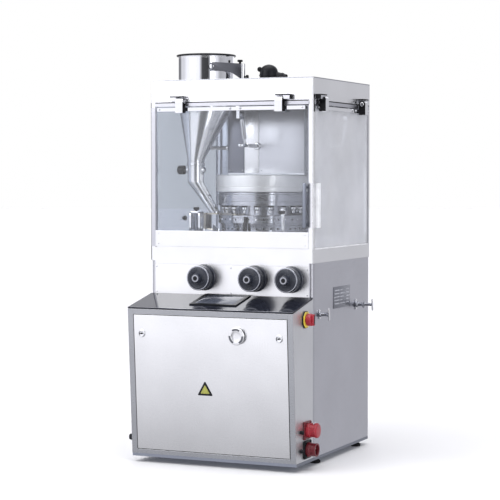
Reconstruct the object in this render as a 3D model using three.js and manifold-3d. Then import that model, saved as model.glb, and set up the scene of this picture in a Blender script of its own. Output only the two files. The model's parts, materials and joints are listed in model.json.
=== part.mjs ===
// Rotary tablet press on a stainless cabinet, in millimetres: X to the machine's right,
// Y to the back, Z up. The model is drawn from the middle of the cabinet's front face on
// the floor, and the last lines move the whole group so that its own box stands on the origin.
import * as THREE from 'three';
import { mergeVertices } from 'three/addons/utils/BufferGeometryUtils.js';
import Module from 'manifold-3d';

const wasm = await Module();
wasm.setup();

// ---------------------------------------------------------------- driving dimensions
const gap = 0.3;                 // clearance between neighbouring pieces
const sheet = 4;                 // thickness of cabinet sheet metal

const halfWidth = 370;           // cabinet, table and roof share one plan
const depth = 668;
const cornerRadius = 17;         // lower cabinet
const edgeRadius = 4;            // table, posts and roof
const postSize = 20;

const footHeight = 25;
const baseTop = 37;              // top of the base plate
const lowerTop = 832.7;          // top of the lower cabinet
const skirtLow = 833;            // table skirt
const frontSkirtLow = 820;       // its front lip hangs lower
const skirtHigh = 890;
const tableHigh = 940;
const roofLow = 1500;
const roofHigh = 1593;

const louvre = { low: 300, pitch: 36, rows: 6, reach: 12 };

const console_ = {
  reach: 215,                    // how far the top stands out in front of the cabinet
  footReach: 176,                // how far the bottom stands out
  frontHeight: 649,
  backHeight: 695,
  top: 6,                        // thickness of the glass top
};
const lean = Math.atan2(console_.reach - console_.footReach, console_.frontHeight - footHeight);
const slope = Math.atan2(console_.backHeight - console_.frontHeight, console_.reach);

const door = { halfWidth: 343, low: 33, high: 594, thickness: 12, gap: 2.5 };
const latch = { x: 308, height: 517, radius: 16.5 };
const stop = { x: 126, height: 522, radius: 36 };

const hinge = { outward: 20, height: roofLow };      // window hinge axis, before the face
const pane = { low: 893, high: 1477.7, front: 1.3, back: 5.3 };
const sill = 960;                                    // top of the front window's steel band
const strut = { topDepth: 18, topHeight: 1440, lowHeight: 1318, radius: 10, rod: 5 };

const turretY = 345;                                 // turret axis, on X = 0
const ring = { radius: 208, low: 1123, high: 1195 };
const drum = { radius: 198, low: 1064, high: 1120 };
const dieTable = { radius: 197, low: 988, high: 1022 };
const skirtDrum = { radius: 186, low: 946 };
const stations = 19;
const pitchRadius = 172;
const punchTip = 1032;

const head = { left: -116, right: 238, front: 228, back: 560, low: 1195.4, high: 1497 };
const bucket = { x: -218, y: 225, radius: 119, rim: 128, low: 1490, high: 1711 };
const tube = { x: -235, y: 155, radius: 35, high: 1256, low: 1164 };
const spout = { x: -172, y: 215, radius: 21, low: 1032 };

const wheel = { height: 766, places: [['left', -120], ['middle', 113], ['right', 276]] };
const worm = { y: 502, height: 582, wheelRadius: 130, radius: 24 };
const motorHeight = 200;
const pulleyX = -265;

// ---------------------------------------------------------------- shapes
const merged = (geometry) => {
  geometry.deleteAttribute('normal');
  geometry.deleteAttribute('uv');
  return mergeVertices(geometry, 1e-3);
};

// A three.js geometry as a closed solid, with the triangles that collapse on an axis left out.
function solid(shape) {
  if (!shape.isBufferGeometry) return shape;
  const geometry = merged(shape);
  const index = geometry.index.array;
  const kept = [];
  for (let i = 0; i < index.length; i += 3) {
    const [a, b, c] = [index[i], index[i + 1], index[i + 2]];
    if (a !== b && b !== c && c !== a) kept.push(a, b, c);
  }
  const position = geometry.attributes.position;
  const corner = (i) => new THREE.Vector3().fromBufferAttribute(position, i);
  let volume = 0;
  for (let i = 0; i < kept.length; i += 3) {
    volume += corner(kept[i]).dot(corner(kept[i + 1]).cross(corner(kept[i + 2])));
  }
  if (volume < 0) kept.reverse();
  return new wasm.Manifold(new wasm.Mesh({
    numProp: 3,
    vertProperties: new Float32Array(position.array),
    triVerts: new Uint32Array(kept),
  }));
}

const join = (...shapes) => shapes.map(solid).reduce((a, b) => a.add(b));
const cut = (shape, ...tools) => tools.map(solid).reduce((a, b) => a.subtract(b), solid(shape));
const common = (a, b) => solid(a).intersect(solid(b));

// Box from [low, high] along each axis.
function box(x, y, z) {
  const geometry = new THREE.BoxGeometry(x[1] - x[0], y[1] - y[0], z[1] - z[0]);
  return geometry.translate((x[0] + x[1]) / 2, (y[0] + y[1]) / 2, (z[0] + z[1]) / 2);
}

// Round bar from one point to another; a second radius makes it a cone.
function bar(from, to, radius, segments = 14, endRadius = radius) {
  const start = new THREE.Vector3(...from);
  const end = new THREE.Vector3(...to);
  const along = end.clone().sub(start);
  const geometry = new THREE.CylinderGeometry(endRadius, radius, along.length(), segments);
  const turn = new THREE.Quaternion().setFromUnitVectors(
    new THREE.Vector3(0, 1, 0), along.clone().normalize());
  return geometry.applyQuaternion(turn).translate(...start.add(end).multiplyScalar(0.5));
}

// Cone or tube whose two round ends both lie level, one over the other or not.
function levelCone(low, high, lowRadius, highRadius, segments = 24) {
  const height = high[2] - low[2];
  const geometry = new THREE.CylinderGeometry(highRadius, lowRadius, height, segments);
  geometry.rotateX(Math.PI / 2);
  const shear = new THREE.Matrix4().set(
    1, 0, (high[0] - low[0]) / height, 0,
    0, 1, (high[1] - low[1]) / height, 0,
    0, 0, 1, 0,
    0, 0, 0, 1);
  geometry.applyMatrix4(shear);
  return geometry.translate(
    (low[0] + high[0]) / 2, (low[1] + high[1]) / 2, (low[2] + high[2]) / 2);
}

// Round body about the Z axis from [radius, height] points.
function turned(profile, segments = 28) {
  const points = profile.map(([radius, height]) => new THREE.Vector2(radius, height));
  return new THREE.LatheGeometry(points, segments).rotateX(Math.PI / 2);
}

// The same about an axis through `at` that points along X or towards the front.
const turnedToRight = (profile, at, segments) =>
  turned(profile, segments).rotateY(Math.PI / 2).translate(...at);
const turnedToFront = (profile, at, segments) =>
  turned(profile, segments).rotateX(Math.PI / 2).translate(...at);

// Upright extrusion of a plan outline.
function upright(outline, low, high, curveSegments = 4) {
  const geometry = new THREE.ExtrudeGeometry(
    outline, { depth: high - low, bevelEnabled: false, curveSegments });
  return geometry.translate(0, 0, low);
}

// Extrusion across the machine of a [y, z] outline.
function across(points, left, right) {
  const outline = new THREE.Shape(points.map(([y, z]) => new THREE.Vector2(y, z)));
  const geometry = new THREE.ExtrudeGeometry(outline, { depth: right - left, bevelEnabled: false });
  geometry.rotateX(Math.PI / 2).rotateZ(Math.PI / 2);
  return geometry.translate(left, 0, 0);
}

// The shared plan with rounded corners, drawn inwards by `inset`.
function plan(inset, corner) {
  const x = halfWidth - inset;
  const front = inset;
  const back = depth - inset;
  const r = Math.max(corner - inset, 1);
  const outline = new THREE.Shape();
  outline.moveTo(-x + r, front).lineTo(x - r, front);
  outline.absarc(x - r, front + r, r, -Math.PI / 2, 0).lineTo(x, back - r);
  outline.absarc(x - r, back - r, r, 0, Math.PI / 2).lineTo(-x + r, back);
  outline.absarc(-x + r, back - r, r, Math.PI / 2, Math.PI).lineTo(-x, front + r);
  outline.absarc(-x + r, front + r, r, Math.PI, Math.PI * 1.5);
  return outline;
}
const cabinetPlan = (inset, low, high) => upright(plan(inset, cornerRadius), low, high);
const upperPlan = (inset, low, high) => upright(plan(inset, edgeRadius), low, high);

// ---------------------------------------------------------------- finishes
const finish = (color, roughness, metalness) => () =>
  new THREE.MeshStandardMaterial({ color, roughness, metalness });
const stainless = finish(0xcfd1d6, 0.32, 1);
const polished = finish(0xe2e4e8, 0.1, 1);
const darkSteel = finish(0x6d717a, 0.35, 1);
const castMetal = finish(0x8b8f96, 0.6, 0.6);
const blackPlastic = finish(0x23252b, 0.45, 0);
const blackRubber = finish(0x161618, 0.85, 0);
const slate = finish(0x343a49, 0.35, 0.1);
const blackGlass = finish(0x1b1e27, 0.06, 0);
const redPlastic = finish(0xb3202a, 0.35, 0);
const yellowPlastic = finish(0xe2c52c, 0.4, 0);
const brass = finish(0xb08d45, 0.3, 1);
const acrylic = () => new THREE.MeshStandardMaterial(
  { color: 0xdfe6ee, roughness: 0.05, metalness: 0, transparent: true, opacity: 0.25 });

const press = new THREE.Group();

function piece(name, shape, material, parent = press) {
  const { vertProperties, triVerts } = solid(shape).getMesh();
  const indexed = new THREE.BufferGeometry();
  indexed.setAttribute('position', new THREE.BufferAttribute(new Float32Array(vertProperties), 3));
  indexed.setIndex(new THREE.BufferAttribute(new Uint32Array(triVerts), 1));
  const geometry = indexed.toNonIndexed();
  geometry.computeVertexNormals();
  const mesh = new THREE.Mesh(geometry, material());
  mesh.name = name;
  parent.add(mesh);
  return mesh;
}

// ---------------------------------------------------------------- base, feet, lower cabinet
function addBase() {
  const footTop = footHeight - gap;
  const foot = [[0, 0], [20, 0], [22, 3], [22, 12], [14, 15], [14, footTop], [0, footTop]];
  for (const [side, x] of [['left', -338], ['right', 338]]) {
    for (const [end, y] of [['front', 105], ['rear', 585]]) {
      piece(`foot_${end}_${side}`, turned(foot, 14).translate(x, y, 0), blackRubber);
    }
  }
  const tray = box([-halfWidth, halfWidth], [-console_.footReach + 2, 30], [footHeight, baseTop]);
  piece('base_plate', join(cabinetPlan(0, footHeight, baseTop), tray), darkSteel);
}

function addCabinet() {
  const low = baseTop + gap;
  const openFront = box([-353, 353], [-1, 60], [low - 1, lowerTop + 1]);
  const wall = cut(cabinetPlan(0, low, lowerTop), cabinetPlan(sheet, low - 1, lowerTop + 1), openFront);

  // Service panel on the back, with two banks of hooded louvres.
  const panelFace = depth + 3;
  const servicePanel = box([-340, 340], [depth - 1, panelFace], [60, 810]);
  const slots = [];
  const hoods = [];
  for (const x of [-170, 170]) {
    for (let row = 0; row < louvre.rows; row += 1) {
      const z = louvre.low + row * louvre.pitch;
      slots.push(box([x - 100, x + 100], [depth - 10, panelFace + 1], [z, z + 12]));
      const hood = [
        [panelFace - 1, z + 17], [depth + louvre.reach, z + 5],
        [depth + louvre.reach, z + 3], [panelFace - 1, z + 13]];
      hoods.push(across(hood, x - 104, x + 104));
    }
  }
  piece('cabinet_shell', join(cut(join(wall, servicePanel), ...slots), ...hoods), stainless);

  const plate = box([-352.7, 352.7], [0.5, 0.5 + sheet], [640, frontSkirtLow - gap]);
  const bores = wheel.places.map(([, x]) => bar([x, -5, wheel.height], [x, 10, wheel.height], 11));
  piece('knob_panel', cut(plate, ...bores), stainless);
}

// ---------------------------------------------------------------- console in front
function addConsole() {
  const topBack = console_.backHeight - console_.top - 1;
  const topFront = console_.frontHeight - console_.top - 1;
  const low = baseTop + gap;
  const frontAt = (z) => -console_.footReach - (z - footHeight) * Math.tan(lean);
  const outline = (inset, back, lowZ) => [
    [back, lowZ],
    [back, topBack - inset],
    [frontAt(topFront) + inset, topFront - inset],
    [frontAt(lowZ) + inset, lowZ],
  ];
  const outer = across(outline(0, -gap, low), -halfWidth, halfWidth);
  const inner = across(outline(sheet, 5, low - 5), -halfWidth + sheet, halfWidth - sheet);
  const doorway = box(
    [-door.halfWidth - door.gap, door.halfWidth + door.gap], [-40, 40],
    [door.low - door.gap, door.high + door.gap]);
  doorway.rotateX(lean).translate(0, -console_.footReach, footHeight);
  piece('console_shell', cut(outer, inner, doorway), stainless);

  // The glass top lies on the slope; its local frame has Y up the slope and Z out of it.
  const deck = new THREE.Group();
  deck.position.set(0, -console_.reach, console_.frontHeight);
  deck.rotation.x = slope;
  press.add(deck);
  const length = (console_.reach - 2.5) / Math.cos(slope);
  const glass = box([-halfWidth, halfWidth], [0, length], [-console_.top, 0]);
  piece('console_top', glass, blackGlass, deck);
  const screen = { left: -114, right: 96, low: 58, high: 212, height: 5 };
  const bezel = box([screen.left, screen.right], [screen.low, screen.high], [gap, screen.height]);
  const display = box(
    [screen.left + 14, screen.right - 14], [screen.low + 12, screen.high - 12],
    [screen.height - 1, screen.height + 1]);
  piece('touch_screen', cut(bezel, display), blackPlastic, deck);
}

function addDoor() {
  const frame = new THREE.Group();
  frame.position.set(0, -console_.footReach, footHeight);
  frame.rotation.x = lean;
  press.add(frame);

  const { halfWidth: half, low, high, thickness } = door;
  const slab = box([-half, half], [0, thickness], [low, high]);
  const hollow = box([-half + 3, half - 3], [3, thickness + 1], [low + 3, high - 3]);
  const bores = [[-latch.x, latch.height, 6], [latch.x, latch.height, 6], [stop.x, stop.height, 12]]
    .map(([x, z, r]) => bar([x, -5, z], [x, 20, z], r));
  piece('front_door', cut(slab, hollow, ...bores), stainless, frame);

  // Quarter-turn latches: slotted round head outside, shaft and cam inside.
  for (const [side, x] of [['left', -latch.x], ['right', latch.x]]) {
    const r = latch.radius;
    const headShape = turnedToFront(
      [[0, -13], [5, -13], [5, gap], [r, gap], [r, 3], [r - 3, 6], [0, 6]], [x, 0, latch.height], 16);
    const slot = box([x - 1.5, x + 1.5], [-8, -3.5], [latch.height - 9, latch.height + 9]);
    const cam = box([x - 7, x + 7], [12.5, 15.5], [latch.height - 10, latch.height + 42]);
    const shaft = bar([x, 5, latch.height], [x, 14, latch.height], 5);
    piece(`latch_${side}`, cut(join(headShape, shaft, cam), slot), polished, frame);
  }

  // Round stop button: shallow dished cap on a stem that slides into the door.
  const r = stop.radius;
  const cap = [
    [0, -40], [10, -40], [10, 8], [r - 4, 8], [r, 10], [r, 13], [r - 5, 16],
    [20, 16], [17, 14], [0, 14]];
  piece('stop_button', turnedToFront(cap, [stop.x, 0, stop.height], 20), polished, frame);
}

// ---------------------------------------------------------------- table, posts, roof
function addTableFrame() {
  const skirt = cut(
    upperPlan(0, skirtLow, skirtHigh), upperPlan(sheet, skirtLow - 1, skirtHigh + 1));
  const lip = box([-352, 352], [0, sheet], [frontSkirtLow, skirtLow + 2]);
  const slab = upperPlan(6, skirtHigh - 6, tableHigh);
  const ledge = cut(
    upperPlan(0, skirtHigh - 4, skirtHigh), upperPlan(30, skirtHigh - 5, skirtHigh + 1));
  const posts = [];
  for (const x of [-halfWidth, halfWidth - postSize]) {
    for (const y of [0, depth - postSize]) {
      const square = box([x, x + postSize], [y, y + postSize], [skirtHigh - 4, roofLow - gap]);
      posts.push(common(square, upperPlan(0, skirtHigh - 5, roofLow)));
    }
  }
  const bore = bar([0, turretY, 800], [0, turretY, 1000], 60, 24);
  piece('table_frame', cut(join(skirt, lip, slab, ledge, ...posts), bore), stainless);
}

function addRoof() {
  const hole = bar([bucket.x, bucket.y, 1400], [bucket.x, bucket.y, 1700], bucket.radius + 4, 32);
  const inside = upperPlan(sheet, roofLow + sheet, roofHigh - sheet);
  const mouth = upperPlan(26, roofLow - 1, roofLow + sheet + 1);
  piece('roof_cap', cut(upperPlan(0, roofLow, roofHigh), inside, mouth, hole), stainless);

  // Dust outlet: domed elbow with a short pipe sloping to the right and a clamp ball.
  const at = [44, 300, roofHigh + gap];
  const dome = turned(
    [[0, 0], [40, 0], [40, 36], [37, 52], [29, 65], [16, 73], [0, 75]], 18).translate(...at);
  const pipe = bar([at[0] + 24, at[1], roofHigh + 32], [at[0] + 80, at[1], roofHigh + 16], 15);
  const ball = new THREE.SphereGeometry(11, 10, 8).translate(at[0] - 43, at[1], roofHigh + 55);
  const neck = bar([at[0] - 44, at[1], roofHigh + 55], [at[0] - 20, at[1], roofHigh + 42], 4.5, 12);
  piece('dust_outlet', join(dome, pipe, ball, neck), blackPlastic);
}

function addFixedWindows() {
  const y = [postSize + 0.5, depth - postSize - 0.5];
  piece('left_window', box([-halfWidth + 1, -halfWidth + 5], y, [pane.low, roofLow - gap]), acrylic);
  const back = [depth - 5, depth - 1];
  const x = [-halfWidth + postSize + 0.5, halfWidth - postSize - 0.5];
  piece('rear_window', box(x, back, [pane.low, roofLow - gap]), stainless);
}

// ---------------------------------------------------------------- hinged windows
// Drawn as the front window: width along X, outside at -Y. The side window is the same group
// turned a quarter turn about Z.
function addHingedWindow(label, group, size) {
  const { width, blocksAt, handleAt, strutAt, lowDepth, headDepth, banded } = size;
  const half = width / 2;
  press.add(group);

  const glass = box([-half, half], [pane.front, pane.back], [pane.low, pane.high]);
  piece(`${label}_window_pane`, glass, acrylic, group);
  if (banded) {
    const band = box([-half, half], [-1.7, pane.front - gap], [pane.low, sill]);
    piece(`${label}_window_band`, band, stainless, group);
  }

  // Hinge bar on the roof: a strip over the whole width with an L-shaped leaf at each hinge.
  const stripEnd = half + 2;
  const leaves = blocksAt.flatMap((blockAt) => {
    const side = Math.sign(blockAt);
    const inner = blockAt - side * 17.3;
    const middle = blockAt + side * 17.3;
    const outer = blockAt + side * 47;
    const span = (a, b) => [Math.min(a, b), Math.max(a, b)];
    return [
      box(span(middle, outer), [-26, -gap], [1503, 1523]),
      box(span(inner, outer), [-26, -gap], [1518, 1523]),
      box(span(inner, outer), [-3.5, -gap], [1490, 1523]),
    ];
  });
  const strip = box([-stripEnd, stripEnd], [-3.5, -gap], [1481, 1497]);
  piece(`${label}_hinge_bar`, join(strip, ...leaves), stainless, group);

  // Window rail with two hinge blocks and the clip that carries the gas strut.
  const rail = box([-half + 12, half - 12], [-9, pane.front - gap], [1461, 1476]);
  const blocks = blocksAt.flatMap((x) => [
    box([x - 17, x + 17], [-35, -4], [1453, hinge.height]),
    bar([x - 17, -hinge.outward, hinge.height], [x + 17, -hinge.outward, hinge.height], 15.5, 16),
  ]);
  const lugX = strutAt - 12;
  const clipTop = 1480;
  const clipHalf = 7;
  const clip = [
    box([lugX - clipHalf, lugX + clipHalf], [0, 1], [1466, clipTop]),
    box([lugX - clipHalf, lugX + clipHalf], [0, 8.6], [pane.high + gap, clipTop]),
    box([lugX - clipHalf, lugX + clipHalf], [pane.back + gap, 8.6], [1428, clipTop]),
    box([lugX - 2, lugX + 2], [pane.back + gap, strut.topDepth + 8], [1430, 1450]),
    bar([lugX, strut.topDepth, strut.topHeight], [strutAt + 7, strut.topDepth, strut.topHeight], 4, 16),
  ];
  const blockCuts = blocksAt.map((x) =>
    box([x - 18, x + 18], [-4, 3], [1478.5, 1530]));
  piece(`${label}_window_rail`, cut(join(rail, ...blocks, ...clip), ...blockCuts), polished, group);

  // Pull handle: a flat bar on two feet in front, a thick bar with a finger recess at the side.
  const onPane = pane.front - gap;
  const feet = [988, 1141].map((z) =>
    box([handleAt - 6, handleAt + 6], [-20, onPane], [z, z + 10]));
  const handle = banded
    ? join(box([handleAt - 8, handleAt + 8], [-26, -18], [978, 1161]), ...feet)
    : cut(
      box([handleAt - 13, handleAt + 13], [-15, onPane], [978, 1161]),
      box([handleAt - 1, handleAt + 14], [-10, onPane + 1], [1000, 1139]));
  piece(`${label}_window_handle`, handle, stainless, group);

  // Gas strut from the clip down to the stay. The lower eye is the linkage's open pivot.
  const top = [strutAt, strut.topDepth, strut.topHeight];
  const low = [strutAt, lowDepth, strut.lowHeight];
  const down = new THREE.Vector3(...low).sub(new THREE.Vector3(...top));
  const length = down.length();
  const along = (distance) =>
    new THREE.Vector3(...top).addScaledVector(down.clone().normalize(), distance).toArray();
  const eye = (at, radius, halfThick) =>
    bar([at[0] - halfThick, at[1], at[2]], [at[0] + halfThick, at[1], at[2]], radius, 16);
  const eyeBore = (at, radius) =>
    bar([at[0] - 20, at[1], at[2]], [at[0] + 20, at[1], at[2]], radius, 12);
  const cylinder = cut(
    join(eye(top, 9, 6), bar(along(4), along(16), 6), bar(along(12), along(length - 26), strut.radius)),
    eyeBore(top, 4.8), bar(along(18), along(length), strut.rod + 0.6));
  piece(`${label}_strut_cylinder`, cylinder, stainless, group);
  const rod = cut(
    join(eye(low, 8, 5), bar(along(24), along(length - 3), strut.rod)), eyeBore(low, 4.4));
  piece(`${label}_strut_rod`, rod, polished, group);

  // Fixed stay from the press head, with a pin that stops short of the strut's lower eye.
  const stayAt = strutAt - 23;
  const stay = join(
    bar([stayAt, headDepth - gap, strut.lowHeight], [stayAt, headDepth - 8, strut.lowHeight], 14),
    bar([stayAt, headDepth - 4, strut.lowHeight], [stayAt, headDepth * 0.55, strut.lowHeight], 9),
    bar([stayAt, headDepth * 0.58, strut.lowHeight], [stayAt, lowDepth - 8, strut.lowHeight], 5.5),
    bar([stayAt, lowDepth, strut.lowHeight], [strutAt - 6.5, lowDepth, strut.lowHeight], 4, 16));
  piece(`${label}_stay`, stay, polished, group);
}

function addHingedWindows() {
  addHingedWindow('front', new THREE.Group(), {
    width: 699, blocksAt: [-222, 229], handleAt: 340, strutAt: 43, lowDepth: 52,
    headDepth: head.front, banded: true,
  });
  const side = new THREE.Group();
  side.position.set(halfWidth, depth / 2, 0);
  side.rotation.z = Math.PI / 2;
  addHingedWindow('side', side, {
    width: 627, blocksAt: [-267, 198], handleAt: -300, strutAt: 84, lowDepth: 34,
    headDepth: halfWidth - head.right, banded: false,
  });
}

// ---------------------------------------------------------------- press head and turret
function addHead() {
  const wall = 6;
  const shell = cut(
    box([head.left, head.right], [head.front, head.back], [head.low, head.high]),
    box([head.left + wall, head.right - wall], [head.front + wall, head.back - wall],
      [head.low + wall, head.high - wall]));
  const column = box([-60, 180], [head.back - 4, 640], [tableHigh + gap, head.high]);
  const shaftBore = bar([0, turretY, 1150], [0, turretY, 1230], 36, 32);
  const hopperRoom = levelCone(
    [tube.x, tube.y, tube.high], [bucket.x, bucket.y, bucket.low + 10],
    tube.radius + 2, bucket.radius + 9, 36);
  const rollerGap = box([128, 172], [turretY - 40, turretY + 40], [head.low - 1, head.low + wall + 1]);
  piece('head_housing', cut(join(shell, column), shaftBore, rollerGap, hopperRoom), stainless);

  const outer = ring.radius;
  const camRing = turned([
    [120, ring.high - 10], [outer - 8, ring.high - 10], [outer - 8, ring.low], [outer, ring.low],
    [outer, ring.high], [120, ring.high], [120, ring.high - 10]], 40).translate(0, turretY, 0);
  piece('upper_cam_ring', camRing, polished);

  const at = [150, turretY, 1292];
  const roller = turnedToRight(
    [[0, -48], [16, -48], [16, -16], [52, -16], [52, 16], [16, 16], [16, 48], [0, 48]], at, 24);
  piece('upper_roller', roller, darkSteel);
}

function addTurret() {
  const { radius, low, high } = drum;
  const hub = 110;
  const body = turned([
    [35, skirtDrum.low], [skirtDrum.radius, skirtDrum.low], [skirtDrum.radius, dieTable.low],
    [dieTable.radius, dieTable.low], [dieTable.radius, dieTable.high], [hub, dieTable.high],
    [hub, low + 20], [radius - 10, low + 20], [radius - 10, low], [radius, low],
    [radius, high], [35, high], [35, skirtDrum.low]], 40);
  piece('turret', body.translate(0, turretY, 0), polished);

  // Upper punches hang from one guide ring, lifted clear of the die table.
  const [inner, outer] = [pitchRadius - 12, pitchRadius + 12];
  const guide = [[inner, 1070], [outer, 1070], [outer, 1082], [inner, 1082], [inner, 1070]];
  const parts = [turned(guide, stations)];
  for (let station = 0; station < stations; station += 1) {
    const angle = (station / stations) * Math.PI * 2;
    const x = Math.cos(angle) * pitchRadius;
    const y = Math.sin(angle) * pitchRadius;
    parts.push(bar([x, y, punchTip], [x, y, 1076], 11, 7));
  }
  const punches = parts.map((part) => part.translate(0, turretY, 0));
  piece('upper_punches', join(...punches), polished);

  // Main shaft with the worm wheel keyed on near its foot.
  const face = worm.wheelRadius;
  const wheelLow = worm.height - 22;
  const shaft = turned([
    [0, 546], [34, 546], [34, wheelLow - 10], [60, wheelLow - 10], [60, wheelLow], [face, wheelLow],
    [face, wheelLow + 44], [60, wheelLow + 44], [60, wheelLow + 60], [34, wheelLow + 60],
    [34, 1215], [0, 1215]], 20);
  piece('main_shaft', shaft.translate(0, turretY, 0), darkSteel);
}

// ---------------------------------------------------------------- feeding
function addFeeding() {
  const wall = 3;
  const at = (part, z) => [part.x, part.y, z];
  const outer = join(
    levelCone(at(bucket, bucket.low), at(bucket, bucket.high), bucket.radius, bucket.radius, 36),
    levelCone(at(bucket, bucket.high - 12), at(bucket, bucket.high), bucket.rim, bucket.rim, 36),
    levelCone(at(tube, tube.high), at(bucket, bucket.low), tube.radius, bucket.radius, 36),
    levelCone(at(tube, tube.low), at(tube, tube.high), tube.radius, tube.radius),
    levelCone(at(spout, spout.low), at(tube, tube.low), spout.radius, tube.radius));
  const drop = 0.2;
  const inner = join(
    levelCone(at(bucket, bucket.low), at(bucket, bucket.high + 5),
      bucket.radius - wall, bucket.radius - wall, 36),
    levelCone(at(tube, tube.high), at(bucket, bucket.low + drop),
      tube.radius - wall, bucket.radius - wall, 36),
    levelCone(at(tube, tube.low), at(tube, tube.high + drop), tube.radius - wall, tube.radius - wall),
    levelCone(at(spout, spout.low - 1), at(tube, tube.low + drop),
      spout.radius - wall, tube.radius - wall));
  const valveHeight = 1216;
  const valveBore = bar([tube.x - 60, tube.y, valveHeight], [tube.x + 60, tube.y, valveHeight], 7.6);
  piece('hopper', cut(outer, inner, valveBore), polished);

  // Flow valve: knob and shaft with a round flap that stands edge-on when open.
  const shaft = bar([tube.x - 52, tube.y, valveHeight], [tube.x + 46, tube.y, valveHeight], 6.5);
  const flap = bar(
    [tube.x, tube.y - 3, valveHeight], [tube.x, tube.y + 3, valveHeight], tube.radius - 6, 32);
  const knob = bar([tube.x - 84, tube.y, valveHeight], [tube.x - 48, tube.y, valveHeight], 19.5, 12);
  piece('valve_knob', join(shaft, flap, knob), blackPlastic);

  // Feed frame: an arc-shaped plate over the die table, open where the powder drops in.
  const deck = dieTable.high + 1;
  const arc = new THREE.Shape();
  const from = Math.PI * 1.02;
  const to = Math.PI * 1.42;
  arc.absarc(0, 0, 194, from, to);
  arc.absarc(0, 0, 142, to, from, true);
  const plate = upright(arc, deck, spout.low - 2, 16).translate(0, turretY, 0);
  const pocket = box([-191, -155], [turretY - 148, turretY - 112], [deck - 1, spout.low + 5]);
  const post = join(
    box([-262, -236], [turretY - 90, turretY - 30], [tableHigh + gap, spout.low - 2]),
    box([-245, -185], [turretY - 80, turretY - 40], [deck, spout.low - 2]));
  piece('feed_frame', cut(join(plate, post), pocket), brass);

  // Discharge chute: a tray that slopes from the die table's edge down to the left front.
  const chute = new THREE.Group();
  chute.position.set(-150, 95, 962);
  chute.rotation.set(0, 0, Math.PI * 0.22);
  press.add(chute);
  const tray = across([[30, -20], [30, 22], [-62, 8], [-62, -20]], -34, 34);
  const trough = across([[31, 6], [31, 30], [-63, 30], [-63, -10]], -30, 30);
  piece('discharge_chute', cut(tray, trough), polished, chute);

  // Hopper arm: a swan-neck plate from the bucket's side to a post on the roof.
  const arm = new THREE.Group();
  arm.position.set(-136, 105, 0);
  arm.rotation.z = Math.atan2(252 - 105, -62 + 136);
  press.add(arm);
  const length = Math.hypot(252 - 105, -62 + 136);
  const profile = new THREE.Shape();
  profile.moveTo(0, 1637).lineTo(length * 0.42, 1637);
  profile.quadraticCurveTo(length * 0.72, 1636, length, 1601);
  profile.lineTo(length, 1672).lineTo(8, 1672).quadraticCurveTo(0, 1672, 0, 1664);
  const blade = new THREE.ExtrudeGeometry(profile, { depth: 6, bevelEnabled: false, curveSegments: 8 });
  blade.rotateX(Math.PI / 2).translate(0, 3, 0);
  const lockPost = bar([length + 6, 0, roofHigh + gap], [length + 6, 0, 1672], 10);
  const screw = join(
    bar([length - 10, 0, 1670], [length - 10, 0, 1690], 5, 16),
    bar([length - 10, 0, 1688], [length - 10, 0, 1696], 11, 16));
  piece('hopper_arm', join(blade, lockPost, screw), stainless, arm);
}

// ---------------------------------------------------------------- handwheels and side fittings
function addHandwheels() {
  // Shaft behind the panel, back flange, groove, rim, stepped face and hub.
  const profile = [
    [0, -60], [9, -60], [9, gap], [55, gap], [55, 11], [40, 14], [40, 23], [52, 27],
    [52, 62], [45, 70], [24, 68], [18, 92], [0, 92]];
  for (const [name, x] of wheel.places) {
    piece(`handwheel_${name}`, turnedToFront(profile, [x, 0, wheel.height], 24), slate);
  }
}

function addSideFittings() {
  const face = halfWidth + gap;
  // Isolator: octagonal plate with a turning handle.
  const centre = [face, -84, 611];
  const [, y, z] = centre;
  const octagon = turnedToRight([[0, 0], [37, 0], [37, 6], [34, 9], [0, 9]], centre, 8);
  const octagonBore = bar([face - 5, y, z], [face + 20, y, z], 8);
  piece('isolator_plate', cut(octagon, octagonBore), yellowPlastic);
  const knob = join(
    turnedToRight([[0, 1], [7, 1], [7, 9.5], [25, 9.5], [25, 28], [22, 31], [0, 31]], centre, 20),
    box([face + 24, face + 40], [y - 8, y + 8], [z - 23, z + 23]));
  piece('isolator_knob', knob, redPlastic);

  // Panel sockets: square flange, round angled body; the lower one is open.
  const socket = (name, height, reach, open, material) => {
    const flange = box([face, face + 8], [-105, -30], [height - 37, height + 37]);
    const shell = turnedToRight([[0, 4], [30, 4], [30, 20], [26, 24], [26, reach], [0, reach]],
      [face, -67, height], 20);
    const lid = box([face + reach - 8, face + reach], [-95, -39], [height - 24, height + 28]);
    const lidHinge = box([face + 6, face + reach - 4], [-76, -58], [height + 22, height + 30]);
    const well = bar([face + reach - 34, -67, height], [face + reach + 2, -67, height], 21, 20);
    const whole = open ? cut(join(flange, shell, lidHinge), well) : join(flange, shell, lid, lidHinge);
    piece(name, whole, material);
  };
  socket('socket_upper', 161, 52, false, redPlastic);
  socket('socket_lower', 83, 46, true, redPlastic);

  const gland = turned([[0, 0], [21, 0], [21, 8], [17, 10], [17, 30], [14, 34], [12, 45], [0, 45]], 24);
  gland.rotateY(-Math.PI / 2).translate(-face, -110, 92);
  piece('cable_gland', gland, blackPlastic);

  // Two T-shaped pulls on the right wall of the cabinet: narrow wall plate, stem, crossbar.
  const pull = (name, along, height, plateHalf, barHalf, reach, stem) => {
    const strap = (from, half) =>
      box([from, from + 5], [along - 7, along + 7], [height - half, height + half]);
    const plate = strap(face, plateHalf);
    const crossbar = strap(face + reach - 5, barHalf);
    piece(name, join(plate, turnedToRight(stem, [face, along, height], 18), crossbar), polished);
  };
  pull('side_knob_front', 66, 622, 19, 26, 46,
    [[0, 1], [10, 1], [10, 8], [6.5, 11], [6.5, 38], [9, 44], [0, 44]]);
  pull('side_knob_rear', 493, 635, 23, 26, 80,
    [[0, 1], [11, 1], [11, 12], [7, 16], [7, 34], [15, 35], [15, 40], [5.5, 42], [5.5, 78], [0, 78]]);
}

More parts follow.
